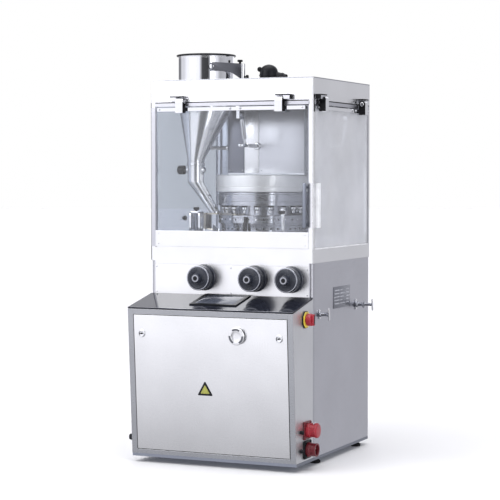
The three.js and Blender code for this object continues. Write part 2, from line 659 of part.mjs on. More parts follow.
// ---------------------------------------------------------------- drive inside the cabinet
function addDrive() {
  const low = baseTop + gap;
  const { y, height } = worm;
  const bedTop = 540;
  const legs = [-200, 200].flatMap((x) => [turretY - 130, turretY + 220].map((legY) =>
    bar([x, legY, low], [x, legY, bedTop - 10], 20, 16)));
  const blocks = [-170, 150].map((x) => box([x, x + 40], [y - 30, y + 30], [bedTop - 5, height + 34]));
  const bearing = bar([0, turretY, bedTop - 5], [0, turretY, bedTop + 4], 55, 32);
  const shaftBore = bar([-240, y, height], [240, y, height], 13);
  const bedPlate = box([-230, 230], [turretY - 160, turretY + 250], [bedTop - 20, bedTop]);
  const bed = cut(join(bedPlate, ...legs, ...blocks, bearing), shaftBore);
  piece('gear_bed', bed, castMetal);

  const pulley = (centreHeight, radius) => turnedToRight([
    [0, -20], [radius, -20], [radius, -16], [radius - 8, -12], [radius - 8, 12], [radius, 16],
    [radius, 20], [0, 20]], [pulleyX, y, centreHeight], 24);
  const wormShaft = join(
    bar([pulleyX, y, height], [215, y, height], 12),
    bar([-70, y, height], [70, y, height], worm.radius, 20), pulley(height, 100));
  piece('worm_shaft', wormShaft, darkSteel);
  piece('motor_pulley', join(pulley(motorHeight, 50), bar([pulleyX, y, motorHeight],
    [pulleyX + 100, y, motorHeight], 12)), darkSteel);

  const bodyLeft = pulleyX + 95;
  const shell = turnedToRight([
    [0, 0], [70, 0], [75, 6], [75, 240], [60, 262], [0, 262]], [bodyLeft, y, motorHeight], 20);
  const bore = bar([bodyLeft - 5, y, motorHeight], [bodyLeft + 12, y, motorHeight], 13);
  const stand = box([bodyLeft + 30, bodyLeft + 210], [y - 70, y + 70], [low, motorHeight - 60]);
  piece('drive_motor', cut(join(shell, stand), bore), castMetal);

  // Belt: the loop around both pulleys.
  const loop = (lowRadius, highRadius) => {
    const tilt = Math.asin((highRadius - lowRadius) / (height - motorHeight));
    const outline = new THREE.Shape();
    outline.absarc(motorHeight, 0, lowRadius, Math.PI / 2 + tilt, Math.PI * 1.5 - tilt);
    outline.absarc(height, 0, highRadius, -Math.PI / 2 - tilt, Math.PI / 2 + tilt);
    return outline;
  };
  const beltBody = (lowRadius, highRadius, halfThick) => {
    const geometry = new THREE.ExtrudeGeometry(loop(lowRadius, highRadius),
      { depth: halfThick * 2, bevelEnabled: false, curveSegments: 8 });
    geometry.rotateY(-Math.PI / 2).translate(pulleyX + halfThick, y, 0);
    return geometry;
  };
  piece('drive_belt', cut(beltBody(49.5, 99.5, 11), beltBody(42.6, 92.6, 12)), blackRubber);
}

addBase();
addCabinet();
addConsole();
addDoor();
addTableFrame();
addRoof();
addFixedWindows();
addHingedWindows();
addHead();
addTurret();
addFeeding();
addHandwheels();
addSideFittings();
addDrive();

// Stand the whole machine on the origin: middle of its box, lowest point on Z = 0.
press.updateMatrixWorld(true);
const bounds = new THREE.Box3().setFromObject(press);
const centre = bounds.getCenter(new THREE.Vector3());
press.position.set(-centre.x, -centre.y, -bounds.min.z);

export default press;
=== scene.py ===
import json
import math

import bmesh
import bpy
from mathutils import Matrix, Vector


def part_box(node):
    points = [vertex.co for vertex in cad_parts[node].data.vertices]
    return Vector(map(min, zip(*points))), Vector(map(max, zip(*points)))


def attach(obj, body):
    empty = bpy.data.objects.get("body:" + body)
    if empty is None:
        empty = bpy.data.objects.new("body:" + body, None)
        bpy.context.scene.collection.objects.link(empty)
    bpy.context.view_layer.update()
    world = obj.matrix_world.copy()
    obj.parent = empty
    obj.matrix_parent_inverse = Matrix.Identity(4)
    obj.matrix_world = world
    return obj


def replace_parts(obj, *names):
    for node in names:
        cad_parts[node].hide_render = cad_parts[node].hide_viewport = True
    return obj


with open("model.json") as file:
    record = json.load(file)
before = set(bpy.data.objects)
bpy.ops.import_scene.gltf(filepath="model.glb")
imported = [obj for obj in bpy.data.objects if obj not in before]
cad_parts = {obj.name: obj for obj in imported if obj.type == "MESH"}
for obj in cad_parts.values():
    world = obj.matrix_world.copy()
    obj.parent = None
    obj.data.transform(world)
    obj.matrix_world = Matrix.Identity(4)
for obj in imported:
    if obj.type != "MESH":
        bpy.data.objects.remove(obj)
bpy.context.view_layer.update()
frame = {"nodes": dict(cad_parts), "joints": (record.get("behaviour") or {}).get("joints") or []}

MM = 0.001
NODES = frame["nodes"]
JOINTS = {joint["name"]: joint for joint in frame["joints"]}

shell_low, shell_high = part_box("cabinet_shell")
ORIGIN = Vector(((shell_low.x + shell_high.x) / 2, shell_low.y, 0))

UP, FRONT, BACK, RIGHT, LEFT = (0, 0, 1), (0, -1, 0), (0, 1, 0), (1, 0, 0), (-1, 0, 0)


# ------------------------------------------------------------------ places
def at(x, y, z):
    """A point of the machine in metres, in the row frame."""
    return ORIGIN + Vector((x, y, z)) * MM


def spot(node):
    """Lowest and highest corner of a CAD node, in the machine's millimetres."""
    return [(corner - ORIGIN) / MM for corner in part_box(node)]


def middle(node):
    low, high = spot(node)
    return (low + high) / 2


def shift(x, y, z=0.0):
    """Matrix of a move in mm."""
    return Matrix.Translation(Vector((x, y, z)) * MM)


def axes(x, y, z):
    """Matrix that turns X, Y and Z into three given directions."""
    return Matrix((x, y, z)).transposed().to_4x4()


def facing(point, normal):
    """Matrix that puts local Z along normal and, on a wall, local Y upwards, at a point in mm."""
    turn = Vector(normal).normalized().to_track_quat("Z", "Y").to_matrix().to_4x4()
    return Matrix.Translation(at(*point)) @ turn


def polar(radius, degrees):
    angle = math.radians(degrees)
    return math.cos(angle) * radius, math.sin(angle) * radius


def circle(radius, count, start=0.0):
    """Evenly spaced points of a circle about the origin, the first at start degrees."""
    return [polar(radius, start + step * 360 / count) for step in range(count)]


def bend(start, control, end, steps):
    """Points of a quadratic curve."""
    start, control, end = Vector(start), Vector(control), Vector(end)
    return [tuple(start * (1 - t) ** 2 + control * (2 * t * (1 - t)) + end * t ** 2)
            for t in (step / steps for step in range(steps + 1))]


# The leaning front: its outward direction is against the travel of the stop button.
DOOR_OUT = -Vector(JOINTS["stop_press"]["axis"])
DOOR_UP = Vector((0, DOOR_OUT.z, -DOOR_OUT.y))
DOOR_THICKNESS = 12
door_low, door_high = spot("front_door")
DOOR_FOOT = Vector((0, door_high.y + DOOR_THICKNESS * DOOR_OUT.y, door_low.z))

# The sloping glass top of the console.
DECK_THICKNESS = 6
deck_low, deck_high = spot("console_top")
DECK_SLOPE = math.atan2(deck_high.z - deck_low.z - DECK_THICKNESS, deck_high.y - deck_low.y)
DECK_UP = Vector((0, math.cos(DECK_SLOPE), math.sin(DECK_SLOPE)))
DECK_OUT = Vector((0, -math.sin(DECK_SLOPE), math.cos(DECK_SLOPE)))
DECK_FOOT = Vector((0, deck_low.y, deck_low.z + DECK_THICKNESS * math.cos(DECK_SLOPE)))

# Levels, the windows' hinge line and the hopper's centres, which several groups of pieces share.
ROOF = spot("roof_cap")[1].z
TABLE_TOP = 940.3
DIE_TOP = 1022
HINGE_Y, HINGE_Z = -20, 1500
HANDLE_LOW, HANDLE_HIGH = 978, 1161
BUCKET, THROAT, SPOUT = (-218, 225), (-235, 155), (-172, 215)


def on_door(x, up, out=0.0):
    """A point on the door's outer face, measured up the slope from its bottom edge."""
    return DOOR_FOOT + Vector((x, 0, 0)) + DOOR_UP * up + DOOR_OUT * out


def on_deck(x, up):
    return DECK_FOOT + Vector((x, 0, 0)) + DECK_UP * up


# ------------------------------------------------------------------ materials
class Look:
    """A node material under construction: a Principled shader and short ways to feed it."""

    def __init__(self, name, color, roughness, metallic=0.0, **sockets):
        self.material = bpy.data.materials.new(name)
        self.material.use_nodes = True
        self.tree = self.material.node_tree
        self.shader = self.tree.nodes["Principled BSDF"]
        sockets |= {"Base_Color": (*color, 1), "Roughness": roughness, "Metallic": metallic}
        for socket, value in sockets.items():
            self.shader.inputs[socket.replace("_", " ")].default_value = value
        self.material.diffuse_color = (*color, 1)

    def add(self, kind, **settings):
        node = self.tree.nodes.new(kind)
        for key, value in settings.items():
            if key in node.inputs:
                node.inputs[key].default_value = value
            else:
                setattr(node, key, value)
        return node

    def link(self, source, target):
        self.tree.links.new(source, target)

    def noise(self, scale, detail=4.0, stretch=(1, 1, 1)):
        """Noise in object space, finer along the axes with a larger stretch."""
        where = self.add("ShaderNodeTexCoord")
        mapping = self.add("ShaderNodeMapping", Scale=stretch)
        noise = self.add("ShaderNodeTexNoise", Scale=scale, Detail=detail)
        self.link(where.outputs["Object"], mapping.inputs["Vector"])
        self.link(mapping.outputs["Vector"], noise.inputs["Vector"])
        return noise.outputs["Fac"]

    def spread(self, source, low, high, start=0.3, end=0.7):
        """A noise value remapped to the range low..high."""
        remap = self.add("ShaderNodeMapRange")
        for socket, value in (("From Min", start), ("From Max", end), ("To Min", low), ("To Max", high)):
            remap.inputs[socket].default_value = value
        self.link(source, remap.inputs["Value"])
        return remap.outputs["Result"]

    def uneven(self, source, low, high):
        """Roughness that wanders between two values."""
        self.link(self.spread(source, low, high), self.shader.inputs["Roughness"])

    def mottle(self, source, dark, light):
        """Base colour that wanders between two colours."""
        ramp = self.add("ShaderNodeValToRGB")
        for element, position, color in zip(ramp.color_ramp.elements, (0.35, 0.65), (dark, light)):
            element.position = position
            element.color = (*color, 1)
        self.link(source, ramp.inputs["Fac"])
        self.link(ramp.outputs["Color"], self.shader.inputs["Base Color"])

    def fade(self, foot):
        """Painted shade: darkens the base colour evenly towards the foot of the piece."""
        where = self.add("ShaderNodeTexCoord")
        parts = self.add("ShaderNodeSeparateXYZ")
        shade = self.add("ShaderNodeVectorMath", operation="SCALE")
        base = self.shader.inputs["Base Color"]
        self.link(where.outputs["Generated"], parts.inputs[0])
        self.link(base.links[0].from_socket, shade.inputs[0])
        self.link(self.spread(parts.outputs["Z"], foot, 1.0, 0.0, 0.9), shade.inputs["Scale"])
        self.link(shade.outputs[0], base)

    def bump(self, source, strength, distance):
        bump = self.add("ShaderNodeBump", Strength=strength, Distance=distance)
        self.link(source, bump.inputs["Height"])
        self.link(bump.outputs["Normal"], self.shader.inputs["Normal"])


def toned(tone, factor):
    """A colour made darker or lighter, at most white."""
    return [min(channel * factor, 1) for channel in tone]


def steel(name, tone, roughness, brush=(1, 1, 60), waves=0.18, metallic=1.0, foot=1.0):
    """Stainless sheet: a brushed grain along one axis and slow waves in the reflections; a foot below 1 adds
    painted shade towards the bottom.
    """
    look = Look(name, tone, roughness, metallic)
    grain = look.noise(90, 3, brush)
    look.uneven(grain, roughness - 0.05, roughness + 0.05)
    look.mottle(look.noise(5, 3), toned(tone, 0.965), toned(tone, 1.02))
    mix = look.add("ShaderNodeMath", operation="MULTIPLY_ADD")
    look.link(grain, mix.inputs[0])
    mix.inputs[1].default_value = 0.12
    look.link(look.noise(3.5, 1), mix.inputs[2])
    look.bump(mix.outputs[0], waves, 0.002)
    # painted shade: the base colour darkens towards the piece's foot
    if foot < 1:
        look.fade(foot)
    return look.material


def polished(name, tone, roughness=0.07, metallic=1.0):
    """Mirror-polished metal with faint turning marks and smudges."""
    look = Look(name, tone, roughness, metallic)
    look.uneven(look.noise(28, 6), roughness * 0.85, roughness * 1.3)
    look.mottle(look.noise(12, 3), toned(tone, 0.97), tone)
    look.bump(look.noise(240, 2, (1, 1, 5)), 0.012, 0.0003)
    return look.material


def plastic(name, color, roughness, grain=900, strength=0.12, coat=0.0, specular=0.5):
    """Moulded plastic or rubber: fine skin texture and slightly uneven gloss and colour."""
    look = Look(name, color, roughness, 0.0, Coat_Weight=coat, Specular_IOR_Level=specular)
    look.uneven(look.noise(35, 5), roughness * 0.8, min(roughness * 1.25, 1))
    look.mottle(look.noise(22, 4), toned(color, 0.85), toned(color, 1.12))
    look.bump(look.noise(grain, 2), strength, 0.0002)
    return look.material


def clear_sheet(name, tint, gloss_roughness=0.015, haze=0.06, milk=None):
    """Acrylic: sees through with a tint, reflects more at a glancing angle, a little haze."""
    look = Look(name, milk or tint, 0.3)
    through = look.add("ShaderNodeBsdfTransparent", Color=(*tint, 1))
    gloss = look.add("ShaderNodeBsdfGlossy", Roughness=gloss_roughness)
    weight = look.add("ShaderNodeLayerWeight", Blend=0.5)
    slope = look.add("ShaderNodeMath", operation="POWER")
    slope.inputs[1].default_value = 5.0
    shine = look.add("ShaderNodeMath", operation="MULTIPLY_ADD")
    shine.inputs[1].default_value = 0.90
    shine.inputs[2].default_value = 0.04
    clear = look.add("ShaderNodeMixShader")
    hazy = look.add("ShaderNodeMixShader")
    look.link(weight.outputs["Facing"], slope.inputs[0])
    look.link(slope.outputs[0], shine.inputs[0])
    look.link(shine.outputs[0], clear.inputs["Fac"])
    look.link(through.outputs["BSDF"], clear.inputs[1])
    look.link(gloss.outputs["BSDF"], clear.inputs[2])
    look.link(look.spread(look.noise(6, 5), haze * 0.9, haze * 1.1), hazy.inputs["Fac"])
    look.link(clear.outputs["Shader"], hazy.inputs[1])
    look.link(look.shader.outputs["BSDF"], hazy.inputs[2])
    look.link(hazy.outputs["Shader"], look.tree.nodes["Material Output"].inputs["Surface"])
    return look.material


SHEET = steel("brushed_sheet", (0.72, 0.73, 0.77), 0.27)
SHEET_SIDE = steel("console_sheet", (0.80, 0.81, 0.83), 0.42)
# The door and the console frame carry painted shade, darker towards their foot.
SHEET_DOOR = steel("door_sheet", (0.94, 0.945, 0.955), 0.26, waves=0.10, foot=0.55)
FRAME_STEEL = steel("frame_steel", (0.42, 0.43, 0.45), 0.26, foot=0.8)
# painted shade: the same brushed stainless as the door, with a darker base colour for walls seen in shade
SHEET_WALL_SHADED = steel("brushed_wall_painted_shade", (0.60, 0.605, 0.65), 0.30)
SHEET_BRIGHT = steel("bright_sheet", (0.90, 0.905, 0.92), 0.24, (1, 60, 60), waves=0.10)
SHEET_PANEL = steel("knob_panel_sheet", (0.93, 0.935, 0.945), 0.34, waves=0.10)
CHAMBER_STEEL = steel("chamber_steel", (0.66, 0.68, 0.72), 0.30)
PANEL_STEEL = steel("panel_steel", (0.70, 0.71, 0.75), 0.32)
ARM_STEEL = steel("arm_steel", (0.22, 0.225, 0.25), 0.34)
HOPPER_STEEL = polished("hopper_steel", (0.90, 0.91, 0.93), 0.10, 0.86)
BUCKET_STEEL = polished("bucket_steel", (0.86, 0.87, 0.90), 0.07)
TURRET_STEEL = polished("turret_steel", (0.56, 0.575, 0.62), 0.16)
RING_STEEL = steel("ring_steel", (0.93, 0.935, 0.94), 0.30, waves=0.02, metallic=0.5)
DUCT_GREY = plastic("duct_grey", (0.42, 0.43, 0.45), 0.55)
MODULE_GREY = plastic("module_grey", (0.66, 0.67, 0.68), 0.5)
# painted shade: a dark copy of the steel for the dark band on the head's face
COVER_STEEL_SHADED = steel("cover_steel_painted_shade", (0.20, 0.21, 0.25), 0.30)
DARK_STEEL = steel("dark_steel", (0.26, 0.28, 0.33), 0.34)
MIRROR = polished("mirror_steel", (0.88, 0.89, 0.91), 0.06)
SATIN = polished("satin_steel", (0.78, 0.79, 0.82), 0.18)
CAST = plastic("cast_paint", (0.30, 0.33, 0.36), 0.5, 400, 0.35)
RUBBER = plastic("rubber", (0.012, 0.012, 0.014), 0.75, 700, 0.3, specular=0.15)
BLACK = plastic("black_moulded", (0.010, 0.011, 0.014), 0.36, specular=0.22)
SLATE = plastic("slate_moulded", (0.035, 0.040, 0.056), 0.28, 1200, 0.08, coat=0.25)
GREY_MARK = plastic("grey_print", (0.09, 0.095, 0.11), 0.45)
RED = plastic("red_moulded", (0.36, 0.020, 0.034), 0.3, coat=0.2)
DEEP_RED = plastic("deep_red_moulded", (0.15, 0.012, 0.020), 0.32, coat=0.2)
YELLOW = plastic("yellow_moulded", (0.80, 0.62, 0.06), 0.35, coat=0.2)
OLIVE = plastic("olive_print", (0.36, 0.36, 0.07), 0.42)
BRONZE = polished("bronze_plate", (0.62, 0.58, 0.50), 0.2)
DARK_GLASS = plastic("dark_glass", (0.020, 0.022, 0.032), 0.09, 60, 0.01, specular=0.3)
SCREEN = plastic("blank_screen", (0.09, 0.10, 0.13), 0.10, 60, 0.01, specular=0.35)
WHITE_TRIM = plastic("pale_trim", (0.84, 0.85, 0.87), 0.35)
PLATE_PRINT = plastic("plate_print", (0.40, 0.41, 0.45), 0.45)
BUTTON_STEEL = polished("button_steel", (0.90, 0.905, 0.92), 0.30)
WHEEL_STEEL = polished("wheel_steel", (0.40, 0.41, 0.45), 0.24)
GREY_PLATE = steel("plate_grey", (0.34, 0.35, 0.39), 0.38, (1, 30, 1))
ACRYLIC = clear_sheet("clear_acrylic", (0.965, 0.973, 0.982), haze=0.02)
ACRYLIC_LEFT = clear_sheet("smoked_acrylic", (0.76, 0.79, 0.84), haze=0.10, milk=(0.62, 0.66, 0.72))
ACRYLIC_RIGHT = clear_sheet("frosted_acrylic", (0.92, 0.93, 0.95), 0.05, haze=0.42, milk=(0.92, 0.93, 0.96))


# ------------------------------------------------------------------ mesh helpers
def soften(profile, radius):
    """Rounds the corners of a profile of (radius, height) points."""
    if radius <= 0:
        return profile
    made = [profile[0]]
    for before, corner, after in zip(profile, profile[1:], profile[2:]):
        here = Vector(corner)
        back, on = Vector(before) - here, Vector(after) - here
        reach = min(radius, back.length * 0.45, on.length * 0.45)
        if reach < 0.02 or here.x < 1e-6:
            made.append(corner)
        else:
            made += bend(here + back.normalized() * reach, here, here + on.normalized() * reach, 3)
    return made + [profile[-1]]


def add_skin(bm, rings, closed):
    """Faces between rings of vertices; a ring of one vertex is a pole."""
    pairs = list(zip(rings, rings[1:]))
    if closed:
        pairs.append((rings[-1], rings[0]))
    for low, high in pairs:
        count = max(len(low), len(high))
        for step in range(count if count > 1 else 0):
            after = (step + 1) % count
            if len(low) == 1:
                bm.faces.new((low[0], high[after], high[step]))
            elif len(high) == 1:
                bm.faces.new((low[step], low[after], high[0]))
            else:
                bm.faces.new((low[step], low[after], high[after], high[step]))


def add_lathe(bm, profile, matrix, segments=64, closed=False):
    """Turns [(radius, height)] in mm about the matrix's Z axis."""
    rings = []
    for radius, height in profile:
        points = circle(radius, segments) if radius > 1e-6 else [(0, 0)]
        rings.append([bm.verts.new(matrix @ (Vector((x, y, height)) * MM)) for x, y in points])
    add_skin(bm, rings, closed)


def add_disc(bm, place, radius, low, high, segments, soft=0.0):
    """Cylinder between two heights in mm on the matrix's Z axis."""
    add_lathe(bm, soften([(0, low), (radius, low), (radius, high), (0, high)], soft), place, segments)


def add_loft(bm, rings, segments):
    """Closed skin through level circles given as (x, y, z, radius) in mm."""
    add_skin(bm, [[bm.verts.new(at(x + dx, y + dy, z)) for dx, dy in circle(radius, segments)]
                  for x, y, z, radius in rings], True)


def add_block(bm, low, high, edge=0.8, matrix=None, steps=2):
    """Box in mm with rounded edges; with a matrix, the box is drawn round the matrix's origin."""
    low, high = Vector(low), Vector(high)
    size = Vector([abs(span) for span in high - low])
    centre = (high + low) / 2
    place = Matrix.Translation(at(*centre)) if matrix is None else matrix @ shift(*centre)
    made = bmesh.ops.create_cube(bm, size=1, matrix=place @ Matrix.Diagonal((*(size * MM), 1)))
    edges = list({e for v in made["verts"] for e in v.link_edges})
    if edge:
        bmesh.ops.bevel(bm, geom=edges, offset=edge * MM, segments=steps, affect="EDGES", profile=0.5)


def add_prism(bm, outline, thickness, matrix, edge=0.0):
    """Extrudes an outline of (x, y) points in mm along the matrix's Z axis."""
    low, high = [[bm.verts.new(matrix @ (Vector((x, y, z)) * MM)) for x, y in outline]
                 for z in (0, thickness)]
    bm.faces.new(list(reversed(low)))
    bm.faces.new(high)
    for i in range(len(outline)):
        bm.faces.new((low[i - 1], low[i], high[i], high[i - 1]))
    if edge:
        top = set(high)
        rim = list({e for v in high for e in v.link_edges if e.other_vert(v) in top})
        bmesh.ops.bevel(bm, geom=rim, offset=edge * MM, segments=2, affect="EDGES", profile=0.5)


def add_rod(bm, start, end, radius, segments=32, chamfer=0.8):
    """Round bar between two points, in mm, with chamfered ends."""
    along = Vector(end) - Vector(start)
    length = along.length
    profile = [(0, 0), (radius - chamfer, 0), (radius, chamfer), (radius, length - chamfer),
               (radius - chamfer, length), (0, length)]
    add_lathe(bm, profile, facing(start, along), segments)


def add_screw(bm, point, normal, radius=3.5):
    """Button-head screw with a hexagonal socket."""
    dome = [(1, 0), (1, 0.25), (0.85, 0.5), (0.55, 0.62), (0.5, 0.2), (0, 0.2)]
    add_lathe(bm, [(x * radius, z * radius) for x, z in dome], facing(point, normal), 18)


def frame_strip(bm, matrix, inner, outer, thickness, low=0.0):
    """Rectangular ring: inner and outer are (left, right, bottom, top) in the matrix's plane."""
    il, ir, ib, it = inner
    ol, right, ob, top = outer
    for x0, x1, y0, y1 in ((ol, il, ob, top), (ir, right, ob, top), (il, ir, ob, ib), (il, ir, it, top)):
        add_block(bm, (x0, y0, low), (x1, y1, low + thickness), 0.3, matrix, 1)


def piece(name, look, build, body="machine"):
    """Makes one object from build(bm), gives it a material and lets it ride on a CAD body."""
    bm = bmesh.new()
    build(bm)
    bmesh.ops.remove_doubles(bm, verts=bm.verts, dist=1e-6)
    bmesh.ops.recalc_face_normals(bm, faces=bm.faces)
    mesh = bpy.data.meshes.new(name)
    bm.to_mesh(mesh)
    bm.free()
    mesh.materials.append(look)
    mesh.shade_smooth()
    mesh.set_sharp_from_angle(angle=math.radians(32))
    made = bpy.data.objects.new(name, mesh)
    bpy.context.scene.collection.objects.link(made)
    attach(made, body)
    return made


def turned(name, look, profile, point, normal, segments=72, closed=False, soft=0.8, body="machine"):
    """One lathe piece; its corners are rounded by `soft` mm."""
    shape = soften(profile, soft)
    return piece(name, look, lambda bm: add_lathe(bm, shape, facing(point, normal), segments, closed), body)


def blocks(name, look, rows, edge=0.8, matrix=None, steps=2, body="machine"):
    """One piece of boxes, each a low and a high corner in mm and, where it differs, its edge radius."""
    def build(bm):
        for low, high, *own_edge in rows:
            add_block(bm, low, high, own_edge[0] if own_edge else edge, matrix, steps)
    return piece(name, look, build, body)


def screws(name, places, normal, radius=3.5, look=SATIN, body="machine"):
    def build(bm):
        for point in places:
            add_screw(bm, point, normal, radius)
    return piece(name, look, build, body)


# ------------------------------------------------------------------ carried-over CAD nodes
def dress(node, look, edge=0.8):
    """Gives a CAD node its material and, on sheet metal, softened edges."""
    thing = NODES[node]
    thing.data.materials.clear()
    thing.data.materials.append(look)
    thing.data.shade_smooth()
    thing.data.set_sharp_from_angle(angle=math.radians(28))
    if edge:
        weld = thing.modifiers.new("weld", "WELD")
        weld.merge_threshold = 1e-5
        bevel = thing.modifiers.new("edges", "BEVEL")
        bevel.width = edge * MM
        bevel.segments = 2
        bevel.limit_method = "ANGLE"
        bevel.angle_limit = math.radians(40)
        bevel.use_clamp_overlap = True
        normals = thing.modifiers.new("normals", "WEIGHTED_NORMAL")
        normals.mode = "FACE_AREA"
        normals.weight = 100
        normals.keep_sharp = False


def dress_nodes():
    bevelled = {
        SHEET: ["front_hinge_bar", "side_hinge_bar"],
        SHEET_SIDE: ["console_shell"],
        SHEET_WALL_SHADED: ["rear_window"],
        CHAMBER_STEEL: ["head_housing"],
        SHEET_DOOR: ["front_door"],
        SHEET_BRIGHT: ["table_frame", "front_window_band", "roof_cap"],
        SHEET_PANEL: ["knob_panel"],
        MIRROR: ["front_window_rail", "side_window_rail", "discharge_chute", "front_stay", "side_stay"],
        DARK_STEEL: ["base_plate", "main_shaft", "upper_roller"],
        CAST: ["gear_bed"],
        BRONZE: ["feed_frame"],
        DARK_GLASS: ["console_top"],
    }
    for look, names in bevelled.items():
        for node in names:
            dress(node, look)
    for node, look in (("front_window_pane", ACRYLIC), ("side_window_pane", ACRYLIC_RIGHT),
                       ("left_window", ACRYLIC_LEFT), ("drive_belt", RUBBER),
                       ("cabinet_shell", SHEET_WALL_SHADED)):
        dress(node, look, edge=0)


# ------------------------------------------------------------------ base, cabinet, table
def feet():
    """Rubber pads on threaded studs, each held by a locknut under the base plate."""
    pad = [(0, 0), (20, 0), (22, 2.5), (22, 8), (20.5, 12), (14, 15), (0, 15)]
    thread = [(radius, 16.5 + turn * 2 + rise) for turn in range(4) for radius, rise in ((9, 0), (8, 1))]
    stud = [(0, 15), (9, 15)] + thread + [(8.2, 24.6), (0, 24.6)]
    nut = [(0, 15.2), (12.5, 15.2), (13.5, 16), (13.5, 19.5), (12.5, 20.3), (0, 20.3)]
    for name in ("foot_front_left", "foot_front_right", "foot_rear_left", "foot_rear_right"):
        x, y, _ = middle(name)
        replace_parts(turned(name + "_pad", RUBBER, pad, (x, y, 0), UP, 48), name)
        turned(name + "_stud", SATIN, stud, (x, y, 0), UP, 32, soft=0)
        turned(name + "_nut", SATIN, nut, (x, y, 0), UP, 6, soft=0)


def cabinet_details():
    """Seams, gaskets, screws and vents of the lower cabinet and the table, with painted shade on the
    front-left post and painted highlight strips along the table's sides.
    """
    (left, _, _), (right, _, top) = spot("cabinet_shell")
    wall_back = spot("table_frame")[1].y
    panel_low, panel_high = spot("knob_panel")
    face = panel_low.y
    seal = (left + 1.5, 3, top - 0.6), (right - 1.5, wall_back - 3, top + 0.9)
    blocks("cabinet_seal", RUBBER, [seal], 0)
    gaps = [((x - 1.2 * side, face + 1.6, panel_low.z), (x + 3 * side, face + 3.6, panel_high.z))
            for x, side in ((panel_low.x, -1), (panel_high.x, 1))]
    gaps.append(((panel_low.x, face + 1.6, panel_high.z - 1), (panel_high.x, face + 3.6, panel_high.z + 2)))
    blocks("panel_gasket", RUBBER, gaps, 0)
    # painted shade: a darker sheet on the front-left corner post, where its rounded face reflects darker
    blocks("left_post_painted_shade", SHEET_WALL_SHADED, [((left + 1, -0.3, 893), (left + 19.5, 0.05, 1478))], 0)
    blocks("left_corner_line", RUBBER, [((left - 0.2, -0.35, 835), (left + 1.4, 3, 1499))], 0)
    # painted highlight: pale strips where the table's side edges catch the light
    blocks("table_edge_highlight", WHITE_TRIM, [((x - 1.5 * side, 21, 889.5), (x + 0.3 * side, wall_back - 21, 894))
                                      for x, side in ((left, -1), (right, 1))], 0.4)

    upper, lower = panel_high.z - 12, panel_low.z + 62
    places = [(x, face, upper) for x in (-344, 2, 344)] + [(x, face, lower) for x in (-344, 3, 344)]
    screws("knob_panel_screws", places, FRONT, 3.2)
    screws("corner_screws", [(x, 2.2, 812) for x in (left + 7.5, right - 7.5)], FRONT, 2.6)

    panel_face = wall_back + 3
    places = [(x, panel_face, z) for x in (-330, 0, 330) for z in (72, 798)]
    places += [(x, panel_face, z) for x in (-330, 330) for z in (314, 556)]
    screws("service_panel_screws", places, BACK, 4.2)

    def earth(bm):
        place = facing((-300, panel_face, 120), BACK)
        add_disc(bm, place, 11, 0, 1.6, 36, 0.4)
        add_disc(bm, place, 6.5, 1.6, 5, 6)
        add_disc(bm, place, 3, 5, 8.4, 20, 0.5)
    piece("earth_stud", BRONZE, earth)
    blocks("left_wall_vents", RUBBER, [((left - 0.28, 520, z), (left + 0.6, 610, z + 5))
                                       for z in range(330, 438, 18)], 0.2)


def console_details():
    """Seal, bright frame and stiffeners of the door, touch screen, edge strip of the glass top."""
    half = door_high.x
    height = (door_high.z - DOOR_FOOT.z) / DOOR_UP.z

    def on_front(depth):
        return Matrix.Translation(at(*on_door(0, 0, depth))) @ axes(RIGHT, DOOR_UP, DOOR_OUT)

    def outset(gap):
        """Rectangle at a gap outside the door's edge: left, right, bottom, top."""
        return -half - gap, half + gap, -gap, height + gap
    piece("door_seal", RUBBER, lambda bm: frame_strip(bm, on_front(-11.5), outset(1.2), outset(8), 7.3))
    around_door = deck_low.x + 0.5, deck_high.x - 0.5, -20, height + 23
    piece("console_frame_face", FRAME_STEEL,
          lambda bm: frame_strip(bm, on_front(0), outset(3), around_door, 0.35))

    def backing(bm):
        frame_strip(bm, on_front(-DOOR_THICKNESS), outset(-9), outset(-3.5), 2)
        for x in (-160, 0, 160):
            add_block(bm, (x - 14, 10, 1), (x + 14, height - 10, 6), 0.8, on_front(2 - DOOR_THICKNESS), 1)
    piece("door_stiffeners", SHEET_WALL_SHADED, backing, "door")

    low, high = spot("touch_screen")
    centre = (low + high) / 2
    half_x, half_up = (high.x - low.x) / 2, 77
    deck = axes(RIGHT, DECK_UP, DECK_OUT)
    place = Matrix.Translation(at(*on_deck(centre.x, (centre - DECK_FOOT).dot(DECK_UP)))) @ deck

    def bezel(bm):
        frame_strip(bm, place, (-half_x + 17, half_x - 17, -half_up + 15, half_up - 15),
                    (-half_x, half_x, -half_up, half_up), 4.9, 0.3)
        for x in (-half_x + 4, half_x - 4):
            for y in (-half_up + 4, half_up - 4):
                add_disc(bm, place @ shift(x, y), 2, 4.6, 5.4, 16)
    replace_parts(piece("screen_bezel", BLACK, bezel), "touch_screen")
    glass = (-half_x + 16.6, -half_up + 14.6, 0.4), (half_x - 16.6, half_up - 14.6, 4.2)
    blocks("screen_glass", SCREEN, [glass], 0.4, place)
    strip = (deck_low.x + 1, 0.3, 0.02), (deck_high.x - 1, 2.3, 0.4)
    blocks("deck_edge_strip", SATIN, [strip], 0.15, Matrix.Translation(at(*on_deck(0, 0))) @ deck)


